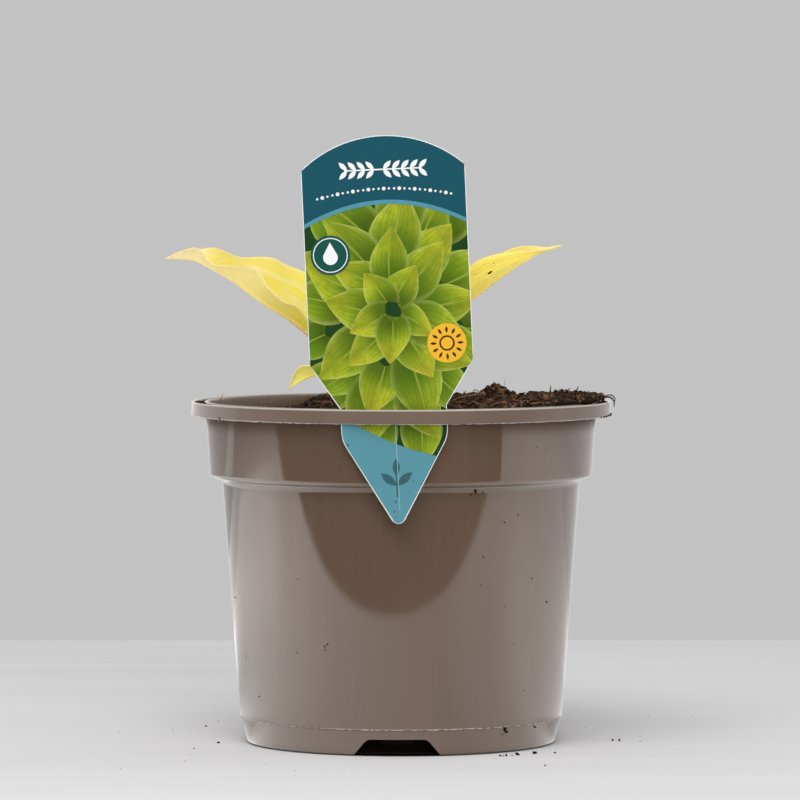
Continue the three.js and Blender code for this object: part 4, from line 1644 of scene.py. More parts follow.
@dataclass
class Leaf:
    """One folded blade on its stalk, lofted through stations of keel, near and far edge."""

    name: str
    slot: Slot
    finish: LeafBlade
    stalk: tuple[Place, ...]
    stalk_radius: float
    rib_radius: float
    sheath_top: float
    bow: float
    stations: tuple[Station, ...]
    thickness: float = 0.55
    margin_thickness: float = 0.26
    rows: int = 130
    cells: int = 22
    rib_height: float = 0.28
    ribs: float = 2.5
    creases: tuple[tuple[Flat, Flat, float], ...] = ()
    marks: tuple[tuple[float, float, float], ...] = ()
    shaded: float = 0.4

    def middle(self, u: Array, t: Array) -> Array:
        """Middle surface of the blade.

        Args:
            u: Shares of the length, from the stalk to the tip.
            t: Places across, from -1 at the near edge over 0 at the keel to 1 at the far edge.

        Returns:
            Points shaped (length, across, 3).
        """
        keel, near, far = (Track([s[k] for s in self.stations]) for k in range(3))
        spine = keel.at(u)
        step = 1e-4
        along = keel.at(np.minimum(u + step, 1)) - keel.at(np.maximum(u - step, 0))
        along /= np.linalg.norm(along, axis=1, keepdims=True)
        fade = (smooth(0, 0.15, u) * (1 - smooth(0.8, 1, u)))[:, None, None]
        columns = []
        for place in t:
            side = (near if place < 0 else far).at(u) - spine
            outward = np.cross(along, side)
            outward /= np.maximum(np.linalg.norm(outward, axis=1, keepdims=True), 1e-9)
            if place > 0:
                outward = -outward
            share = abs(place)
            size = np.linalg.norm(side, axis=1, keepdims=True)
            lift = size * self.bow * math.sin(math.pi * share)
            room = np.clip(size / 22, 0, 1) ** 2
            lift = lift + room * self.rib_height * math.sin(TURN * self.ribs * share)
            columns.append((spine + side * share, outward * lift))
        base = np.stack([c[0] for c in columns], axis=1)
        lifts = np.stack([c[1] for c in columns], axis=1)
        return base + lifts * fade

    def blade(self) -> Shell:
        """Closed blade, thinner towards its margins.

        Returns:
            The blade with its marks.
        """
        u = np.linspace(0, 1, self.rows)
        t = np.concatenate([-np.linspace(1, 0, self.cells + 1), np.linspace(0, 1, self.cells + 1)[1:]])
        mid = self.middle(u, t)
        along, across = np.gradient(mid, axis=0), np.gradient(mid, axis=1)
        normal = np.cross(along, across)
        normal /= np.maximum(np.linalg.norm(normal, axis=2, keepdims=True), 1e-9)
        if normal[self.rows // 2, self.cells, 2] < 0:
            normal = -normal
        reach = np.linalg.norm(mid[:, [0, -1]] - mid[:, [self.cells]], axis=2).max(axis=1)
        thin = (self.thickness - self.margin_thickness) * np.abs(t) ** 3
        half = (self.thickness - thin)[None] / 2 * (0.5 + 0.5 * smooth(0, 6, reach))[:, None]
        top, under = mid + normal * half[..., None], mid - normal * half[..., None]
        rows, columns = mid.shape[:2]
        quads = grid_faces(rows, columns, False)
        count = rows * columns
        rim = self.border(rows, columns)
        walls = stacked(rim, np.roll(rim, -1), np.roll(rim, -1) + count, rim + count)
        points = np.concatenate([top.reshape(-1, 3), under.reshape(-1, 3)])
        grid_u, grid_t = np.meshgrid(u, t, indexing="ij")
        sides = [np.full(grid_u.shape, v) for v in (1.0, -1.0)]
        blade = np.concatenate([stacked(grid_u, grid_t, s).reshape(-1, 3) for s in sides])
        made = Shell(points, [quads[:, ::-1], quads + count, walls], {"blade": blade}).outward()
        made.marks["room"] = np.tile(np.clip(reach / 22, 0, 1).repeat(columns), 2)
        made.marks["shade"] = self.shade_of(blade)
        made.marks["band"] = self.fold_light_of(made.points, blade)
        return made

    def shade_of(self, blade: Array) -> Array:
        """How far each point goes to the finish's shade, more towards the stalk and the keel."""
        along, wide = blade[:, 0], np.abs(blade[:, 1])
        return (1 - smooth(0.1, self.shaded, along)) * (1 - 0.5 * smooth(0.1, 0.9, wide))

    def fold_light_of(self, points: Array, blade: Array) -> Array:
        """Painted light along the blade's folds: paler bands, each along a line between two (x, z)
        places.

        Args:
            points: The blade's points.
            blade: Their places along and across it.

        Returns:
            How pale each point is, from 0 to 1.
        """
        band = np.zeros(len(points))
        inner = blade[:, 1] > 0
        for (x0, z0), (x1, z1), half in self.creases:
            on = np.array([x1 - x0, z1 - z0], float)
            length = np.linalg.norm(on)
            on /= length
            off = points[:, [0, 2]] - [x0, z0]
            run, away = off @ on, off @ np.array([-on[1], on[0]])
            inside = smooth(-3, 3, run) * (1 - smooth(length - 3, length + 3, run))
            band = np.maximum(band, inside * (1 - smooth(0.35, 1.0, np.abs(away) / half)))
        return band * inner * 0.8

    @staticmethod
    def border(rows: int, columns: int) -> Array:
        """Numbers of the grid's points round its border, in order.

        Args:
            rows: Rows of points.
            columns: Points in a row.

        Returns:
            The numbers.
        """
        top = np.arange(columns)
        right = np.arange(1, rows) * columns + columns - 1
        bottom = (rows - 1) * columns + np.arange(columns - 2, -1, -1)
        left = np.arange(rows - 2, 0, -1) * columns
        return np.concatenate([top, right, bottom, left])

    def stem(self) -> Shell:
        """Channelled stalk that runs on as the blade's midrib.

        Returns:
            The closed stalk.
        """
        keel = [s[0] for s in self.stations]
        path = [*self.stalk, *keel[: math.ceil(len(keel) * 0.7)]]
        line = Track(path).evenly(90)
        share = np.linspace(0, 1, len(line))
        start = len(self.stalk) / len(path) * 0.3
        radius = self.stalk_radius + (self.rib_radius - self.stalk_radius) * smooth(start, 0.8, share)
        radius = radius * (1 - 0.9 * smooth(0.8, 1, share))
        body = tube(line, radius, 22, lambda a: 1 - 0.22 * np.clip(np.cos(a), 0, 1) ** 6)
        rows = np.repeat(share, 22)
        body.marks["tone"] = np.concatenate([rows, [0.0, 1.0]])
        return body

    def build(self) -> None:
        """Builds the blade and its stalk."""
        blade = self.blade().object(f"{self.name}_blade", self.finish.material())
        settle(blade, self.slot, self.name)
        stem = self.stem().object(f"{self.name}_stalk", Stalk(f"{self.name}_stalk").material())
        settle(stem, self.slot)
        if self.marks:
            settle(self.build_marks(blade), self.slot)

    def build_marks(self, blade: Object) -> Object:
        """Brown marks on the near face, each an (x, z) place and a size in millimetres.

        Args:
            blade: The blade that bears them.

        Returns:
            The marks as one object.
        """
        points = np.array([v.co[:] for v in blade.data.vertices]) / MM
        heap = Crumbs(57)
        for x, z, size in self.marks:
            away = np.hypot(points[:, 0] - x, points[:, 2] - z)
            near = np.argsort(away)[:8]
            spot = points[near[np.argmin(points[near, 1])]]
            steps = np.linspace(-1, 1, 5)[:, None] * size
            path = spot + steps * np.array([0.8, 0.1, 0.55]) + [0, -0.02, 0]
            heap.fibre(path, size * 0.45, heap.random.uniform(0, 0.3), 8)
        return heap.object(f"{self.name}_marks", PEAT_CRUMB.material())


LEAF_LEFT_STATIONS: tuple[Station, ...] = (
    ((-26, 3.2, 173), (-26.4, 0.4, 175.4), (-25.6, 6, 175.6)),
    ((-33.5, 2.6, 178.8), (-34, -8.6, 184.6), (-31, 14.5, 193)),
    ((-43.4, 2, 186.2), (-42.6, -16, 192.2), (-41, 20, 210.5)),
    ((-47.2, 1.7, 189.1), (-47.4, -20.5, 197.6), (-45.6, 21.5, 213)),
    ((-51.4, 1.4, 192.1), (-53, -24.4, 199.9), (-51.6, 22.4, 215.2)),
    ((-61.5, 1, 198.1), (-60, -25, 206.6), (-58.4, 21, 218.6)),
    ((-67.6, 0.7, 202.6), (-63.8, -21.4, 213.2), (-65, 19.4, 219.2)),
    ((-74.4, 0.5, 207.5), (-71.2, -16, 215.7), (-73.2, 17, 219)),
    ((-86.3, 0, 214.3), (-84.4, -8.6, 216.2), (-84.6, 10.5, 223.4)),
    ((-93.1, 0, 217.7), (-91.6, -5.2, 223.4), (-92.2, 6, 222.6)),
    ((-99.9, 0, 218.7), (-98.6, -2.2, 222.4), (-99, 2.6, 221.6)),
    ((-106.6, 0, 218.6), (-106.4, -0.5, 219.1), (-106.4, 0.5, 219.1)),
)
LEAF_RIGHT_STATIONS: tuple[Station, ...] = (
    ((15.6, 4, 185.4), (14.8, 1.2, 187.6), (14.8, 6.8, 187.6)),
    ((23, 3.3, 191.6), (19.4, -9.5, 200.4), (19.6, 16, 199.6)),
    ((32.5, 2.5, 200.8), (27, -17, 212.8), (27.6, 22, 211)),
    ((40, 2.2, 206.4), (35.7, -18.6, 218.8), (37, 21.5, 216)),
    ((48.8, 1.6, 212.9), (43.4, -15.5, 221.2), (44.4, 17.6, 220.4)),
    ((55.2, 1, 216.9), (50, -10.6, 222), (52.6, 12.5, 223.8)),
    ((61.6, 0.4, 220.6), (58.6, -6, 222.4), (60, 7.6, 224.3)),
    ((67.5, 0, 222.6), (66, -2.4, 223), (66, 3, 223.9)),
    ((72.9, 0, 224.4), (72.7, -0.5, 224.9), (72.7, 0.5, 224.9)),
)
LEAF_LOW_STATIONS: tuple[Station, ...] = (
    ((-20.6, -14.6, 168.8), (-20.4, -16.4, 170.2), (-21, -12.6, 170.4)),
    ((-26, -16.6, 169.3), (-26, -23, 173.4), (-26.6, -9.6, 173.8)),
    ((-32, -18.6, 168.6), (-32.6, -26.6, 173.4), (-33, -9.6, 173.6)),
    ((-38, -20, 166.8), (-39, -27.4, 171.6), (-39, -12.6, 171.2)),
    ((-43.6, -21.2, 164.7), (-45.2, -26.4, 170.8), (-45, -16, 168.6)),
    ((-47.6, -21.8, 162.3), (-48.2, -24, 166.8), (-48.2, -19.4, 165)),
    ((-50.6, -22, 160.2), (-50.6, -22.5, 160.9), (-50.6, -21.5, 160.9)),
)


def leaves() -> list[Leaf]:
    """The three leaves."""
    return [
        Leaf(
            "leaf_left", Slot.LEAF_LEFT,
            LeafBlade("leaf_left_blade", (0.61, 0.485, 0.053), (0.99, 0.81, 0.31),
                      (0.70, 0.615, 0.01), 0.30, (0.92, 0.75, 0.42), (0.725, 0.60, 0.30)),
            ((-9.6, 4, 149.6), (-10.4, 4, 156), (-11.2, 4, 162.4), (-14, 3.9, 167),
             (-19.6, 3.6, 170)),
            2.7, 0.7, 162, 0.12, LEAF_LEFT_STATIONS,
            creases=(((-68, 215.5), (-41, 203.5), 1.3), ((-54, 205), (-41, 195), 2.6)), shaded=0.78,
        ),
        Leaf(
            "leaf_right", Slot.LEAF_RIGHT,
            LeafBlade("leaf_right_blade", (0.60, 0.465, 0.08), (0.99, 0.80, 0.115),
                      (0.88, 0.72, 0.09), 0.34, (0.76, 0.60, 0.24), (0.68, 0.56, 0.20)),
            ((2.6, 5, 149.6), (3.2, 5.1, 157), (3.8, 5.2, 164.4), (6, 5, 172.6),
             (10.4, 4.6, 180)),
            2.6, 0.65, 163, 0.1, LEAF_RIGHT_STATIONS,
            marks=(
                (40.3, 212.4, 1.15), (42.1, 216.6, 0.4), (41.4, 215.0, 0.3), (46.6, 216.1, 0.25),
                (43.1, 211.6, 0.25), (41.1, 206.5, 0.3), (33.1, 211.9, 0.4), (34.7, 208.7, 0.25),
                (47.3, 211.6, 0.25),
            ),
        ),
        Leaf(
            "leaf_low", Slot.LEAF_LOW,
            LeafBlade("leaf_low_blade", (0.95, 0.86, 0.18), (0.95, 0.86, 0.19),
                      (0.95, 0.86, 0.13), 0.40, (0.92, 0.82, 0.36), (0.78, 0.70, 0.28)),
            ((-7, -7.2, 149.6), (-8, -7.9, 154.6), (-9, -8.6, 159.6), (-11.6, -10.2, 164.4),
             (-16, -12.6, 167.6)),
            2.1, 0.5, 159, 0.16, LEAF_LOW_STATIONS,
        ),
    ]


# ---- Crown ----------------------------------------------------------------------------------


@dataclass
class Crown:
    """Fleshy rootstock with the sheaths of the stalks and two rolled shoots."""

    leaves: list[Leaf]
    x: float = -4.0
    y: float = 1.0
    radius: float = 17.0
    bottom_z: float = 139.0
    shoulder_z: float = 152.5
    top_z: float = 157.2
    sides: int = 96
    sheath_sides: int = 48
    sheath_wall: float = 1.5
    gap: float = 0.3
    buds: tuple[tuple[Place, Place, float], ...] = (
        ((-1, 11, 152), (0.5, 13.5, 171), 3.4), ((5.6, -5.4, 151), (7.4, -6.6, 165), 2.6),
    )

    def stock(self) -> Shell:
        """Wrinkled stock.

        Returns:
            The closed stock.
        """
        levels = [
            (0.9, self.bottom_z), (1.0, self.bottom_z + 2), (1.0, self.shoulder_z - 3),
            (0.93, self.shoulder_z), (0.74, (self.shoulder_z + self.top_z) / 2),
            (0.4, self.top_z - 0.5), (0.12, self.top_z),
        ]
        track = Track([(s, 0.0, z) for s, z in levels]).at(np.linspace(0, 1, 60))
        angles = np.arange(self.sides) / self.sides * TURN
        rings = []
        for share, _, z in track:
            ring = []
            for a in angles:
                c, s = math.cos(a), math.sin(a)
                wrinkle = rough((self.radius * c * share, self.radius * s * share, z * 1.6), 0.24, 4)
                reach = self.radius * share * (0.93 + 0.06 * wrinkle)
                ring.append((self.x + reach * c, self.y + reach * s, z + 0.5 * wrinkle))
            rings.append(ring)
        made = skin(np.array(rings))
        return made.marked(tone=0.15)

    def sheath(self, leaf: Leaf) -> Shell:
        """Papery sheath round a stalk's foot, open at its ragged top.

        Args:
            leaf: The leaf whose stalk it holds.

        Returns:
            The sheath.
        """
        foot, head = np.array(leaf.stalk[0], float), np.array(leaf.stalk[2], float)
        top = foot + (head - foot) * (leaf.sheath_top - foot[2]) / (head[2] - foot[2])
        length = np.linalg.norm(top - foot)
        along = (top - foot) / length
        side = np.cross(along, [0.0, 1.0, 0.0])
        side /= np.linalg.norm(side)
        across = np.cross(along, side)
        bore = leaf.stalk_radius + 0.12
        outer = leaf.stalk_radius + self.gap + self.sheath_wall
        angles = np.arange(self.sheath_sides) / self.sheath_sides * TURN
        lift = 1 + 0.16 * np.cos(angles - 0.7) + 0.03 * np.sin(7 * angles)
        rings, tones = [], []
        for share, radius in (
            (-0.12, outer + 1.6), (0.0, outer + 1.2), (0.25, outer + 0.7), (0.5, outer + 0.2),
            (0.75, outer - 0.2), (0.92, outer - 0.6), (1.0, bore + 0.35), (0.99, bore),
            (0.8, bore), (0.4, bore), (-0.12, bore),
        ):
            rise = length * share * np.where(share > 0.5, 1 + (lift - 1) * (share - 0.5) * 2, 1)
            ridge = radius + (0.12 * np.sin(angles * 11) if radius > bore + 0.4 else 0)
            rings.append(foot + np.outer(rise, along) + (
                np.outer(np.cos(angles) * ridge, side) + np.outer(np.sin(angles) * ridge, across)))
            tones.append(np.full(self.sheath_sides, 0.05 + 0.3 * max(share, 0)))
        faces = [ring_faces(len(rings), self.sheath_sides)]
        return Shell(np.array(rings).reshape(-1, 3), faces, {"tone": np.concatenate(tones)})

    def shoot(self, foot: Place, tip: Place, radius: float) -> Shell:
        """Pointed shoot, rolled up in overlapping scales.

        Args:
            foot: Its foot.
            tip: Its tip.
            radius: Its greatest radius.

        Returns:
            The closed shoot.
        """
        steps, sides = 60, 48
        line = np.linspace(foot, tip, steps)
        t = np.linspace(0, 1, steps)
        swell = np.sin(math.pi * (0.32 + 0.68 * t)).clip(0) ** 0.9
        base = tube(line, radius * (0.08 + 0.92 * swell), sides)
        angles = np.arange(sides) / sides * TURN
        rings = base.points[: steps * sides].reshape(steps, sides, 3)
        roll = ((angles[None] / TURN + t[:, None] * 1.35) % 1.0)
        grow = 1 + 0.13 * (1 - roll) * np.minimum(1, 4 * swell[:, None])
        rings[:] = line[:, None] + (rings - line[:, None]) * grow[..., None]
        tone = np.repeat(0.08 + 0.5 * t, sides)
        base.marks["tone"] = np.concatenate([tone, [0.1, 0.6]])
        return base

    def build(self) -> None:
        """Builds the crown."""
        bark = Stalk("crown_stock", (0.10, 0.045, 0.028), (0.20, 0.11, 0.06), (0.34, 0.22, 0.12), 0.0)
        settle(self.stock().object("crown_stock", bark.material()), Slot.CROWN, "crown")
        husk = Stalk("crown_sheath", (0.40, 0.13, 0.10), (0.62, 0.33, 0.24), (0.72, 0.55, 0.30), 0.0)
        sheaths = Shell.joined([self.sheath(leaf) for leaf in self.leaves])
        settle(sheaths.object("crown_sheaths", husk.material(), 50), Slot.CROWN)
        shoots = Shell.joined([self.shoot(*bud) for bud in self.buds])
        settle(shoots.object("crown_shoots", husk.material(), 50), Slot.CROWN)


# ---- Label ----------------------------------------------------------------------------------

EVERYWHERE: Windows = [oblong(-60, 60, -80, 140)]


def clipped(corners: list[Array], window: Sequence[Flat]) -> list[Array]:
    """Part of a polygon inside a convex window.

    Args:
        corners: Rows that start with the two coordinates and go on with the marks.
        window: The window's corners, anticlockwise.

    Returns:
        The corners of what is left, with their marks.
    """
    shape = corners
    for a, b in zip(window, [*window[1:], window[0]]):
        if not shape:
            return []
        edge = (b[0] - a[0], b[1] - a[1])
        depths = [edge[0] * (p[1] - a[1]) - edge[1] * (p[0] - a[0]) for p in shape]
        kept: list[Array] = []
        for i, here in enumerate(shape):
            there, d0, d1 = shape[(i + 1) % len(shape)], depths[i], depths[(i + 1) % len(shape)]
            if d0 >= 0:
                kept.append(here)
            if (d0 > 0 > d1) or (d0 < 0 < d1):
                kept.append(here + (there - here) * (d0 / (d0 - d1)))
        shape = kept
    return shape


def inset(outline: Sequence[Flat], margin: float) -> list[Flat]:
    """Anticlockwise outline drawn in by a margin.

    Args:
        outline: Points, anticlockwise.
        margin: How far it is drawn in.

    Returns:
        The inner outline.
    """
    flat = np.array(outline, float)
    on = np.roll(flat, -1, axis=0) - flat
    on /= np.linalg.norm(on, axis=1, keepdims=True)
    inward = stacked(-on[:, 1], on[:, 0])
    before = np.roll(inward, 1, axis=0)
    mitre = (inward + before) / (1 + np.sum(inward * before, axis=1, keepdims=True))
    return [tuple(point) for point in flat + mitre * margin]


@dataclass
class Label:
    """Picture card that stands in the rim, with a pointed tail hanging in front of the collar.

    Its print is laid film over film, each a step further from the card. A crumb of dirt is a
    place across and up the card, and a size.
    """

    half_width: float = 35.9
    shoulder: float = 108.4
    arch: float = 122.3
    side_foot: float = 23.0
    side_foot_radius: float = 5.0
    neck_half: float = 23.3
    neck_top: float = 3.5
    neck_bottom: float = -10.5
    tip_depth: float = -47.7
    tip_radius: float = 3.4
    corner: float = 2.4
    thickness: float = 0.6
    lean: float = 0.0447
    origin: Place = (-3.1, -88.9, 152.0)
    header_side: float = 84.6
    header_rise: float = 9.6
    arc_width: float = 1.9
    margin: float = 0.34
    knee: float = 4.0
    teal: Colour = (0.008, 0.075, 0.105)
    blue: Colour = (0.075, 0.255, 0.325)
    tail_teal: Colour = (0.09, 0.26, 0.315)
    dark_green: Colour = (0.012, 0.045, 0.012)
    white: Colour = (0.80, 0.80, 0.80)
    amber: Colour = (0.78, 0.42, 0.03)
    disc_green: Colour = (0.008, 0.075, 0.06)
    pale_green: Colour = (0.56, 0.66, 0.44)
    dark: Colour = (0.05, 0.03, 0.01)
    scratch: Colour = (0.4, 0.5, 0.53)
    sun_mark: Flat = (24.6, 30.5)
    drop_mark: Flat = (-24.6, 71.0)
    dirt: tuple[Place, ...] = (
        (-20.6, -12.2, 0.55), (10.6, -30.5, 0.34), (7.4, -29.2, 0.3), (5.4, -34.1, 0.28),
        (-0.9, -38.0, 0.3), (-1.6, -42.3, 0.36), (-1.1, -45.0, 0.26), (11.8, -29.0, 0.26),
        (-10.2, -22.0, 0.2), (16.0, -18.4, 0.24), (-4.0, -14.4, 0.18),
    )
    level: float = 0.02
    level_step: float = 0.003
    films: list[Shell] = field(default_factory=list)

    def __post_init__(self) -> None:
        """Works out the circle of the arched top and the half width of the print."""
        rise = self.arch - self.shoulder
        self.arch_radius = (self.half_width**2 + rise**2) / (2 * rise)
        self.arch_middle = self.arch - self.arch_radius
        self.side = self.half_width - self.margin

    def arc(self) -> list[Flat]:
        """Top of the print from right to left."""
        radius = self.arch_radius - self.margin
        reach = math.asin(self.side / radius)
        return [(radius * math.sin(a), self.arch_middle + radius * math.cos(a))
                for a in np.linspace(reach, -reach, 40)]

    def outline(self) -> list[Flat]:
        """Anticlockwise outline of the card, from the foot of its right side.

        Returns:
            The outline's points.
        """
        half, radius, low = self.half_width, self.arch_radius, self.arch_middle
        flank = np.array([self.neck_half, self.neck_bottom - self.tip_depth])
        flank /= np.linalg.norm(flank)
        waist = np.array([half - self.neck_half, self.side_foot - self.neck_top])
        waist *= self.side_foot_radius / np.linalg.norm(waist)
        start = math.pi / 2 - math.asin(half / radius) + self.corner / radius
        over = [(radius * math.cos(a), low + radius * math.sin(a))
                for a in np.linspace(start, math.pi - start, 40)]
        right = [(self.neck_half, self.neck_top)]
        right += bend((half - waist[0], self.side_foot - waist[1]), (half, self.side_foot),
                      (half, self.side_foot + self.side_foot_radius), 8)
        right += bend((half, self.shoulder - self.corner), (half, self.shoulder), over[0], 8)
        knee = bend((self.neck_half - flank[0] * self.knee, self.neck_bottom - flank[1] * self.knee),
                    (self.neck_half, self.neck_bottom),
                    (self.neck_half, self.neck_bottom + self.knee), 8)
        round_x = self.tip_radius * flank[1]
        round_z = self.tip_depth + self.tip_radius - self.tip_radius * flank[0]
        tip = bend((-round_x, round_z), (0, self.tip_depth - self.tip_radius * 0.5),
                   (round_x, round_z), 8)
        return right + over[1:-1] + mirrored(right) + mirrored(knee) + tip + knee

    def world(self, u: "float | Array", v: "float | Array", depth: float) -> Array:
        """Places on the card in the row frame.

        Args:
            u: How far right of its middle line.
            v: How far above its neck.
            depth: How far in front of its front face.

        Returns:
            Points in millimetres.
        """
        c, s = math.cos(self.lean), math.sin(self.lean)
        x, z = u * c - v * s + self.origin[0], u * s + v * c + self.origin[2]
        return stacked(x, np.full_like(x, self.origin[1] - self.thickness - depth), z)

    def build_card(self) -> None:
        """Builds the card with a softened cut edge."""
        rings, soft = [], 0.1
        for depth, drawn_in in ((-self.thickness, soft), (-self.thickness + soft, 0.0),
                                (-soft, 0.0), (0.0, soft)):
            ring = np.array(inset(self.outline(), drawn_in))
            rings.append(self.world(ring[:, 0], ring[:, 1], depth))
        count, size = len(rings), len(rings[0])
        caps = [np.arange(size)[None, ::-1], np.arange(size)[None] + (count - 1) * size]
        made = Shell(np.concatenate(rings), [grid_faces(count, size, True), *caps])
        settle(made.object("label_card", PrintedCard().material(), 25), Slot.LABEL, "label")

    def film(
        self, polygons: Polygons, level: float, windows: Windows, back: bool = False
    ) -> list[Shell]:
        """Closed film of ink on a face of the card.

        Args:
            polygons: Its faces; each corner holds u, v, the ink's colour and the drawing marks.
            level: Its height above the card.
            windows: Convex windows that it is cut to.
            back: Whether it lies on the back of the card.

        Returns:
            One shell for each window in which something is left.
        """
        shells = []
        for window in windows:
            index: dict[tuple[int, int], int] = {}
            rows: list[Array] = []
            triangles: list[list[int]] = []
            for polygon in polygons:
                face: list[int] = []
                for corner in clipped(polygon, window):
                    key = (round(corner[0] * 2e3), round(corner[1] * 2e3))
                    if key not in index:
                        index[key] = len(rows)
                        rows.append(corner)
                    if index[key] not in face:
                        face.append(index[key])
                triangles += [[face[0], *face[k : k + 2]] for k in range(1, len(face) - 1)]
            if not triangles:
                continue
            table, top, count = np.array(rows), np.array(triangles), len(rows)
            lifts = (-self.thickness - level, 0.02 - self.thickness) if back else (level, -0.02)
            points = [self.world(table[:, 0], table[:, 1], lift) for lift in lifts]
            edges = dict.fromkeys((a, b) for t in triangles for a, b in zip(t, t[1:] + t[:1]))
            rim = np.array([(a, b) for a, b in edges if (b, a) not in edges])
            walls = stacked(rim[:, 0], rim[:, 0] + count, rim[:, 1] + count, rim[:, 1])
            blocks = [top, top[:, ::-1] + count, walls]
            if back:
                blocks = [block[:, ::-1] for block in blocks]
            ink = np.concatenate([table[:, 2:5], np.ones((count, 1))], axis=1)
            marks = {"ink": np.tile(ink, (2, 1)), "draw": np.tile(table[:, 5:8], (2, 1))}
            shells.append(Shell(np.concatenate(points), blocks, marks))
        return shells

    def lay(self, polygons: Polygons, windows: Windows = EVERYWHERE) -> None:
        """Lays the next film over the last on the front of the card."""
        self.films += self.film(polygons, self.level, windows)
        self.level += self.level_step

    def stamp(self, shape: Sequence[Flat], ink: Colour, windows: Windows = EVERYWHERE) -> None:
        """Lays a flat shape in one ink."""
        self.lay(self.patch(shape, ink), windows)

    @staticmethod
    def corner_row(u: float, v: float, ink: Colour, draw: Place = (0.0, 0.0, 0.0)) -> Array:
        """One corner of a film."""
        return np.array([u, v, *ink, *draw], float)

    def patch(self, shape: Sequence[Flat], ink: Colour) -> Polygons:
        """Flat polygon as a fan round its middle.

        Args:
            shape: Its corners.
            ink: Its colour.

        Returns:
            The patch's triangles.
        """
        hub = self.corner_row(*np.mean(np.array(shape), axis=0), ink)
        rows = [self.corner_row(*p, ink) for p in shape]
        return [[hub, a, b] for a, b in zip(rows, [*rows[1:], rows[0]])]

    def ribbon(self, upper: Sequence[Flat], lower: Sequence[Flat], ink: Colour) -> Polygons:
        """Band between two lines of as many points.

        Args:
            upper: Points of one line.
            lower: Points of the other.
            ink: Its colour.

        Returns:
            The band's triangles.
        """
        made: Polygons = []
        for edge in zip(upper, upper[1:], lower[1:], lower):
            a, b, c, d = (self.corner_row(*point, ink) for point in edge)
            made += [[a, b, c], [a, c, d]]
        return made

    @staticmethod
    def disc(u: float, v: float, radius: float) -> list[Flat]:
        """Round outline."""
        return [(u + radius * math.cos(a), v + radius * math.sin(a)) for a in np.arange(48) / 48 * TURN]

    def leaf(
        self, foot: Flat, heading: float, length: float, width: float, curl: float, tone: float
    ) -> Polygons:
        """Drawn heart-shaped leaf with a pale margin.

        Args:
            foot: Where its stalk meets it.
            heading: Direction of its tip, in radians.
            length: From foot to tip.
            width: Across its widest place.
            curl: How far its tip swings sideways.
            tone: From 0, deep green, to 1, golden.

        Returns:
            The leaf's faces.
        """
        deep, bright = np.array((0.05, 0.14, 0.005)), np.array((0.30, 0.42, 0.018))
        gold, rim = np.array((0.62, 0.52, 0.03)), np.array((0.55, 0.60, 0.16))
        c, s = math.cos(heading), math.sin(heading)
        rows = []
        for t in np.arange(13) / 12:
            half = width / 2 * math.sin(math.pi * min(1.0, 0.06 + 0.94 * t) ** 0.62) ** 0.9
            row = []
            for w in np.arange(9) / 8 * 2 - 1:
                x = length * t - 0.2 * length * (1 - t) ** 4 * abs(w) ** 1.4
                y = w * max(half, 0.02) + curl * t * t
                body = deep + (bright - deep) * min(1.0, 0.3 + 0.55 * tone + 0.3 * abs(w))
                body = body + (gold - body) * tone * 0.9 * float(smooth(0.15, 1.0, t))
                body = body * (0.32 + 0.68 * float(smooth(0.0, 0.55, t)))
                body = body * (1.0 if w > 0 else 0.74)
                edge = float(smooth(0.82, 1.0, abs(w)))
                ink = body + (rim - body) * edge * 0.7 * (0.3 + 0.7 * t)
                u, v = foot[0] + x * c - y * s, foot[1] + x * s + y * c
                row.append(self.corner_row(u, v, tuple(ink), (t, w, 1.0)))
            rows.append(row)
        faces: Polygons = []
        for near, far in zip(rows, rows[1:]):
            for a, b, d, e in zip(near, far, far[1:], near[1:]):
                faces += [[a, b, d], [a, d, e]]
        return faces

    def picture_windows(self) -> Windows:
        """Windows of the picture: the panel below the header, and the neck above the tail.

        Returns:
            The two windows.
        """
        side, foot, low = self.side, self.neck_half - self.margin, self.neck_top + 0.2
        slope = (self.side_foot - self.neck_top) / (self.half_width - self.neck_half)
        hip = low + (side - foot) * slope
        header = self.header_arc(self.arc_width * 0.5)
        panel = [(-foot, low), (foot, low), (side, hip), *header, (-side, hip)]
        above = [*self.tail_curve(), (foot, low), (-foot, low)]
        return [panel, clipped([np.array(p) for p in above], self.tail_window())]

    def tail_window(self) -> list[Flat]:
        """Neck and tail within their pale margin."""
        over, foot = self.neck_top + 0.2 + self.margin, self.outline()[-24:]
        return inset([*foot, (self.neck_half, over), (-self.neck_half, over)], self.margin)

    def header_arc(self, drop: float) -> list[Flat]:
        """Lower edge of the header from right to left, lowered by a drop."""
        return [(u, self.header_side + self.header_rise * (1 - (u / self.half_width) ** 2) - drop)
                for u in np.linspace(self.side, -self.side, 40)]

    def tail_curve(self) -> list[Flat]:
        """Curved top of the tail's plain field, from left to right."""
        foot = self.neck_half - self.margin
        shares = [(u, (u + foot) / (2 * foot)) for u in np.linspace(-foot, foot, 24)]
        return [(u, 0.2 - 20.2 * share - 2.6 * math.sin(math.pi * share)) for u, share in shares]

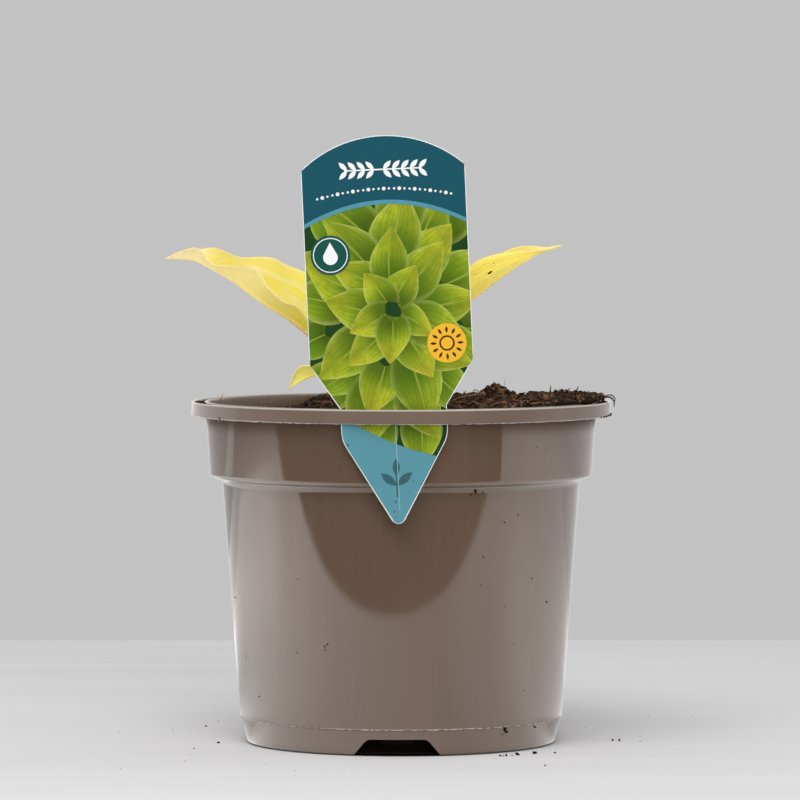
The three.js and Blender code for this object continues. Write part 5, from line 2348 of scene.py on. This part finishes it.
    def drawn_leaves(self) -> list[Polygons]:
        """A clump seen from above: rings of leaves laid from the outside in.

        Returns:
            Each leaf's faces.
        """
        draw = np.random.default_rng(5).uniform
        made = []
        for count, reach_u, reach_v, size, tone in (
            (12, 50.0, 58.0, 20.0, 0.1), (11, 38.0, 44.0, 22.0, 0.35), (9, 26.0, 30.0, 22.0, 0.6),
            (7, 15.0, 17.0, 20.0, 0.8), (5, 6.0, 6.0, 17.0, 1.0),
        ):
            for k in range(count):
                a = (k + draw(-0.25, 0.25)) / count * TURN + reach_u
                foot = (2.0 + reach_u * 0.62 * math.cos(a), 46.0 + reach_v * 0.86 * math.sin(a))
                length = size * draw(0.95, 1.3)
                made.append(self.leaf(
                    foot, a + draw(-0.35, 0.35), length, length * draw(0.72, 0.92),
                    draw(-3.5, 3.5), float(np.clip(tone * 0.75 + draw(-0.15, 0.35), 0, 1))))
        return made

    @staticmethod
    def sprig(u: float, v: float, size: float, heading: float) -> list[Flat]:
        """Small pointed leaf of an ornament.

        Args:
            u: Place of its foot across the card.
            v: Place of its foot up the card.
            size: Its length.
            heading: Direction of its tip, in radians.

        Returns:
            Its outline.
        """
        c, s = math.cos(heading), math.sin(heading)
        shape = [(size * t, size * 0.2 * math.sin(math.pi * t)) for t in np.linspace(0, 1, 9)]
        shape += [(x, -y) for x, y in reversed(shape[1:-1])]
        return [(u + x * c - y * s, v + x * s + y * c) for x, y in shape]

    def build_print(self) -> None:
        """Prints both faces of the card."""
        picture = self.picture_windows()
        base = self.header_arc(0.0)
        self.lay(self.ribbon(self.arc(), base, self.teal))
        self.stamp(oblong(-60, 60, -30, 130), self.dark_green, picture)
        for drawn in self.drawn_leaves():
            self.lay(drawn, picture)
        self.lay(self.ribbon(base, self.header_arc(self.arc_width), self.blue))
        self.print_tail()
        self.print_ornaments()
        films = [*self.films, *self.back_films()]
        settle(Shell.joined(films).object("label_print", Ink().material(), 20), Slot.LABEL)

    def print_tail(self) -> None:
        """Prints the tail: a plain field under a curve, with a sprout in a darker ink."""
        window, curve = [self.tail_window()], self.tail_curve()
        self.lay(self.ribbon([(u, -60) for u, _ in curve], curve, self.tail_teal), window)
        darker = tuple(c * 0.42 for c in self.tail_teal)
        for v, size, heading in (
            (-31.0, 9.0, 0.7), (-31.0, 9.0, math.pi - 0.7), (-27.0, 8.0, math.pi / 2),
        ):
            self.stamp(self.sprig(0.0, v, size, heading), darker)
        self.stamp(oblong(-0.35, 0.35, -36, -26), darker)
        self.stamp([(0.66, -42), (0.82, -42), (0.54, -4.4), (0.34, -4.4)], self.scratch, window)

    def print_ornaments(self) -> None:
        """Prints the header's sprig and dotted line, and the two round marks."""
        self.stamp(oblong(-17, 17, 107.2, 107.8), self.white)
        for k in range(-4, 5):
            for up in (1, -1):
                heading = up * 0.8 if k >= 0 else math.pi - up * 0.8
                self.stamp(self.sprig(k * 3.9, 107.5, 5.2, heading), self.white)
        for k in range(-13, 14):
            u = k * 2.25
            v = 97.9 + 3.6 * (1 - (u / 30) ** 2) - 2.4
            self.stamp(self.disc(u, v, 0.5 if k % 3 else 0.8), self.white)
        sun, drop = self.sun_mark, self.drop_mark
        self.stamp(self.disc(*sun, 8.6), self.amber)
        self.stamp(self.disc(*drop, 8.6), self.disc_green)
        for a in np.arange(12) / 12 * TURN:
            u, v = around(4.4, a)
            self.stamp(self.sprig(sun[0] + u, sun[1] + v, 3.0, a), self.dark)
        for place, radius, ink in (
            (sun, 3.4, self.dark), (sun, 2.6, self.amber), (drop, 7.6, self.white),
            (drop, 7.2, self.disc_green),
        ):
            self.stamp(self.disc(*place, radius), ink)
        u, v = drop
        shape = [(u + 3.2 * math.cos(a), v - 1.0 + 3.2 * math.sin(a))
                 for a in np.linspace(math.radians(150), math.radians(390), 24)]
        self.stamp([*shape, (u, v + 5.6)], self.white)

    def back_films(self) -> list[Shell]:
        """Plain header band and ruled panel on the back of the card.

        Returns:
            The films.
        """
        shapes = [(0.02, self.ribbon(self.arc(), self.header_arc(0.0), self.teal)),
                  (0.02, self.patch(oblong(-29, 29, 32, 78), self.pale_green))]
        for k in range(6):
            v, end = 72 - k * 6.6, 25 - 7 * (k % 2)
            shapes.append((0.024, self.patch(oblong(-25, end, v - 0.5, v + 0.5), self.white)))
        return [film for level, shape in shapes for film in self.film(shape, level, EVERYWHERE, True)]

    def build_dirt(self) -> None:
        """Sticks crumbs to the tail."""
        heap = Crumbs(43)
        for u, v, size in self.dirt:
            heap.add(self.world(u, v, 0.1), size, heap.random.uniform(0, 0.5))
        settle(heap.object("label_dirt", PEAT_CRUMB.material()), Slot.COMPOST)

    def build(self) -> None:
        """Builds the label."""
        self.build_card()
        self.build_print()
        self.build_dirt()


# ---- Studio ---------------------------------------------------------------------------------


@dataclass
class Studio:
    """Pale floor, even backdrop, soft lights, and what the glossy pot mirrors. In metres.

    Each fallen crumb is a place on the floor and a size, in millimetres.
    """

    floor_front: float = -2.2
    floor_back: float = 0.545
    half: float = 3.0
    room_front: float = -3.4
    roof: float = 2.6
    seam: float = -0.2
    mirror_lift: float = 0.0008
    backdrop: Colour = (0.54, 0.54, 0.54)
    mirror_only: tuple[str, ...] = (
        "visible_camera", "visible_diffuse", "visible_shadow", "visible_transmission",
        "visible_volume_scatter",
    )
    fallen: tuple[Place, ...] = (
        (-82.5, -10.5, 0.75), (-90.6, 65.5, 0.45), (-85.8, 90, 0.3), (-94.6, -89.9, 0.35),
        (-92.6, -35.6, 0.3), (43.8, -67.1, 0.5), (45.2, -67.6, 0.45), (46.7, -67.1, 0.55),
        (49.1, -65.8, 0.5), (51.2, -62.8, 0.8), (59.2, -57.2, 0.95), (62.7, -107.7, 0.5),
        (68.4, -54.2, 0.4), (96.1, 1.1, 0.6), (98.9, -0.2, 0.7), (108.2, -4.7, 0.3),
    )

    def sheet(
        self, name: str, x: Flat, y: Flat, z: Flat, material: Material, mirror: bool = True
    ) -> None:
        """Adds a flat card that lies along one of the axes.

        Args:
            name: Its name.
            x: Least and greatest X.
            y: Least and greatest Y.
            z: Least and greatest Z; the two are the same along one of the axes.
            material: Its finish.
            mirror: Whether only reflections see it.
        """
        (x0, x1), (y0, y1), (z0, z1) = x, y, z
        corners = [(x0, y0, z0), (x1, y0, z0), (x1, y1, z1), (x0, y1, z1)]
        if x0 == x1:
            corners = [(x0, y0, z0), (x0, y1, z0), (x0, y1, z1), (x0, y0, z1)]
        mesh = bpy.data.meshes.new(name)
        mesh.from_pydata(corners, [], [(0, 1, 2, 3)])
        mesh.materials.append(material)
        card = bpy.data.objects.new(name, mesh)
        bpy.context.scene.collection.objects.link(card)
        for flag in self.mirror_only if mirror else ():
            setattr(card, flag, False)

    def light(self, name: str, place: Place, size: float, power: float) -> None:
        """Adds a soft square light that is aimed at the plant.

        Args:
            name: Its name.
            place: Its middle.
            size: Its side.
            power: Its power in watts.
        """
        lamp = bpy.data.lights.new(name, "AREA")
        lamp.size, lamp.energy = size, power
        made = bpy.data.objects.new(name, lamp)
        made.location = place
        made.rotation_euler = (Vector((0, 0, 0.13)) - Vector(place)).to_track_quat("-Z", "Y").to_euler()
        made.visible_camera = made.visible_glossy = False
        bpy.context.scene.collection.objects.link(made)

    def crumbs(self) -> None:
        """Scatters the crumbs that fell on the table."""
        heap = Crumbs(91)
        for x, y, size in self.fallen:
            heap.add((x, y, size * 0.5), size, heap.random.uniform(0, 0.5))
        for _ in range(60):
            x, y = heap.random.uniform(-150, 150), heap.random.uniform(-130, 120)
            if math.hypot(x, y) > 76:
                size = heap.random.uniform(0.08, 0.22)
                heap.add((x, y, size * 0.5), size, heap.random.uniform(0, 0.6))
        heap.object("table_crumbs", PEAT_CRUMB.material())

    def build(self) -> None:
        """Builds the studio."""
        half, far, end, roof = self.half, self.room_front, self.floor_back, self.roof
        back, lift, below = (end, end), (self.mirror_lift,) * 2, -0.01
        wide, left, right = (-half, half), (-half, self.seam), (self.seam, half)
        self.sheet("floor", wide, (self.floor_front, end), (0, 0), PalePaint().material(), False)
        self.sheet("floor_mirrored", wide, (far, end), lift, FloorSheen().material())
        for name, shine, x, y, z in (
            ("dark_wall", 0.02, wide, (far, far), (0.0, 0.24)),
            ("bright_wall", 1.15, wide, (far - 0.01, far - 0.01), (0.24, roof)),
            ("back_wall_foot", 1.12, left, back, (below, 0.035)),
            ("back_wall_left", 0.68, left, back, (0.035, 0.108)),
            ("back_wall_over", 1.2, left, back, (0.108, roof)),
            ("back_wall_right", 0.85, right, back, (below, roof)),
            ("ceiling", 2.2, (-2, 2), (-2, 2), (2.4, 2.4)),
            ("side_wall_left", 0.95, (-half, -half), (far, half), (0.02, roof)),
            ("side_wall_right", 0.95, (half, half), (far, half), (0.02, roof)),
        ):
            self.sheet(name, x, y, z, Glow(name, (shine,) * 3).material())
        self.light("key", (-0.3, -1.1, 1.6), 1.2, 16.0)
        self.light("front", (0.6, -3.3, 1.3), 1.8, 35.0)
        world = bpy.context.scene.world = bpy.data.worlds.new("studio")
        world.use_nodes = True
        backdrop = world.node_tree.nodes["Background"].inputs
        backdrop["Color"].default_value = (*self.backdrop, 1.0)
        backdrop["Strength"].default_value = 1.0
        bpy.context.scene.view_settings.view_transform = "Standard"
        self.crumbs()


@dataclass
class Eye:
    """Camera of the front view. In metres and degrees."""

    place: Place = (0.0, -2.640, 0.268)
    pitch_down: float = 2.4617
    lens: float = 262.8
    sensor: float = 36.0
    shift: Flat = (-0.00125, 0.00075)

    def build(self) -> None:
        """Adds the camera and makes it the scene's."""
        data = bpy.data.cameras.new("eye")
        data.lens = self.lens
        data.sensor_width = self.sensor
        data.shift_x, data.shift_y = self.shift
        made = bpy.data.objects.new("eye", data)
        made.location = self.place
        made.rotation_euler = (math.radians(90 - self.pitch_down), 0.0, 0.0)
        bpy.context.scene.collection.objects.link(made)
        bpy.context.scene.camera = made


def main() -> None:
    """Builds the plant in its pot, then the studio and the camera."""
    logging.basicConfig(level=logging.INFO, format="%(name)s %(message)s")
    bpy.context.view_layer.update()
    pot = Pot()
    pot.build()
    Compost(pot).build()
    foliage = leaves()
    Crown(foliage).build()
    for leaf in foliage:
        leaf.build()
    Label().build()
    Studio().build()
    Eye().build()


if __name__ == "__main__":
    main()
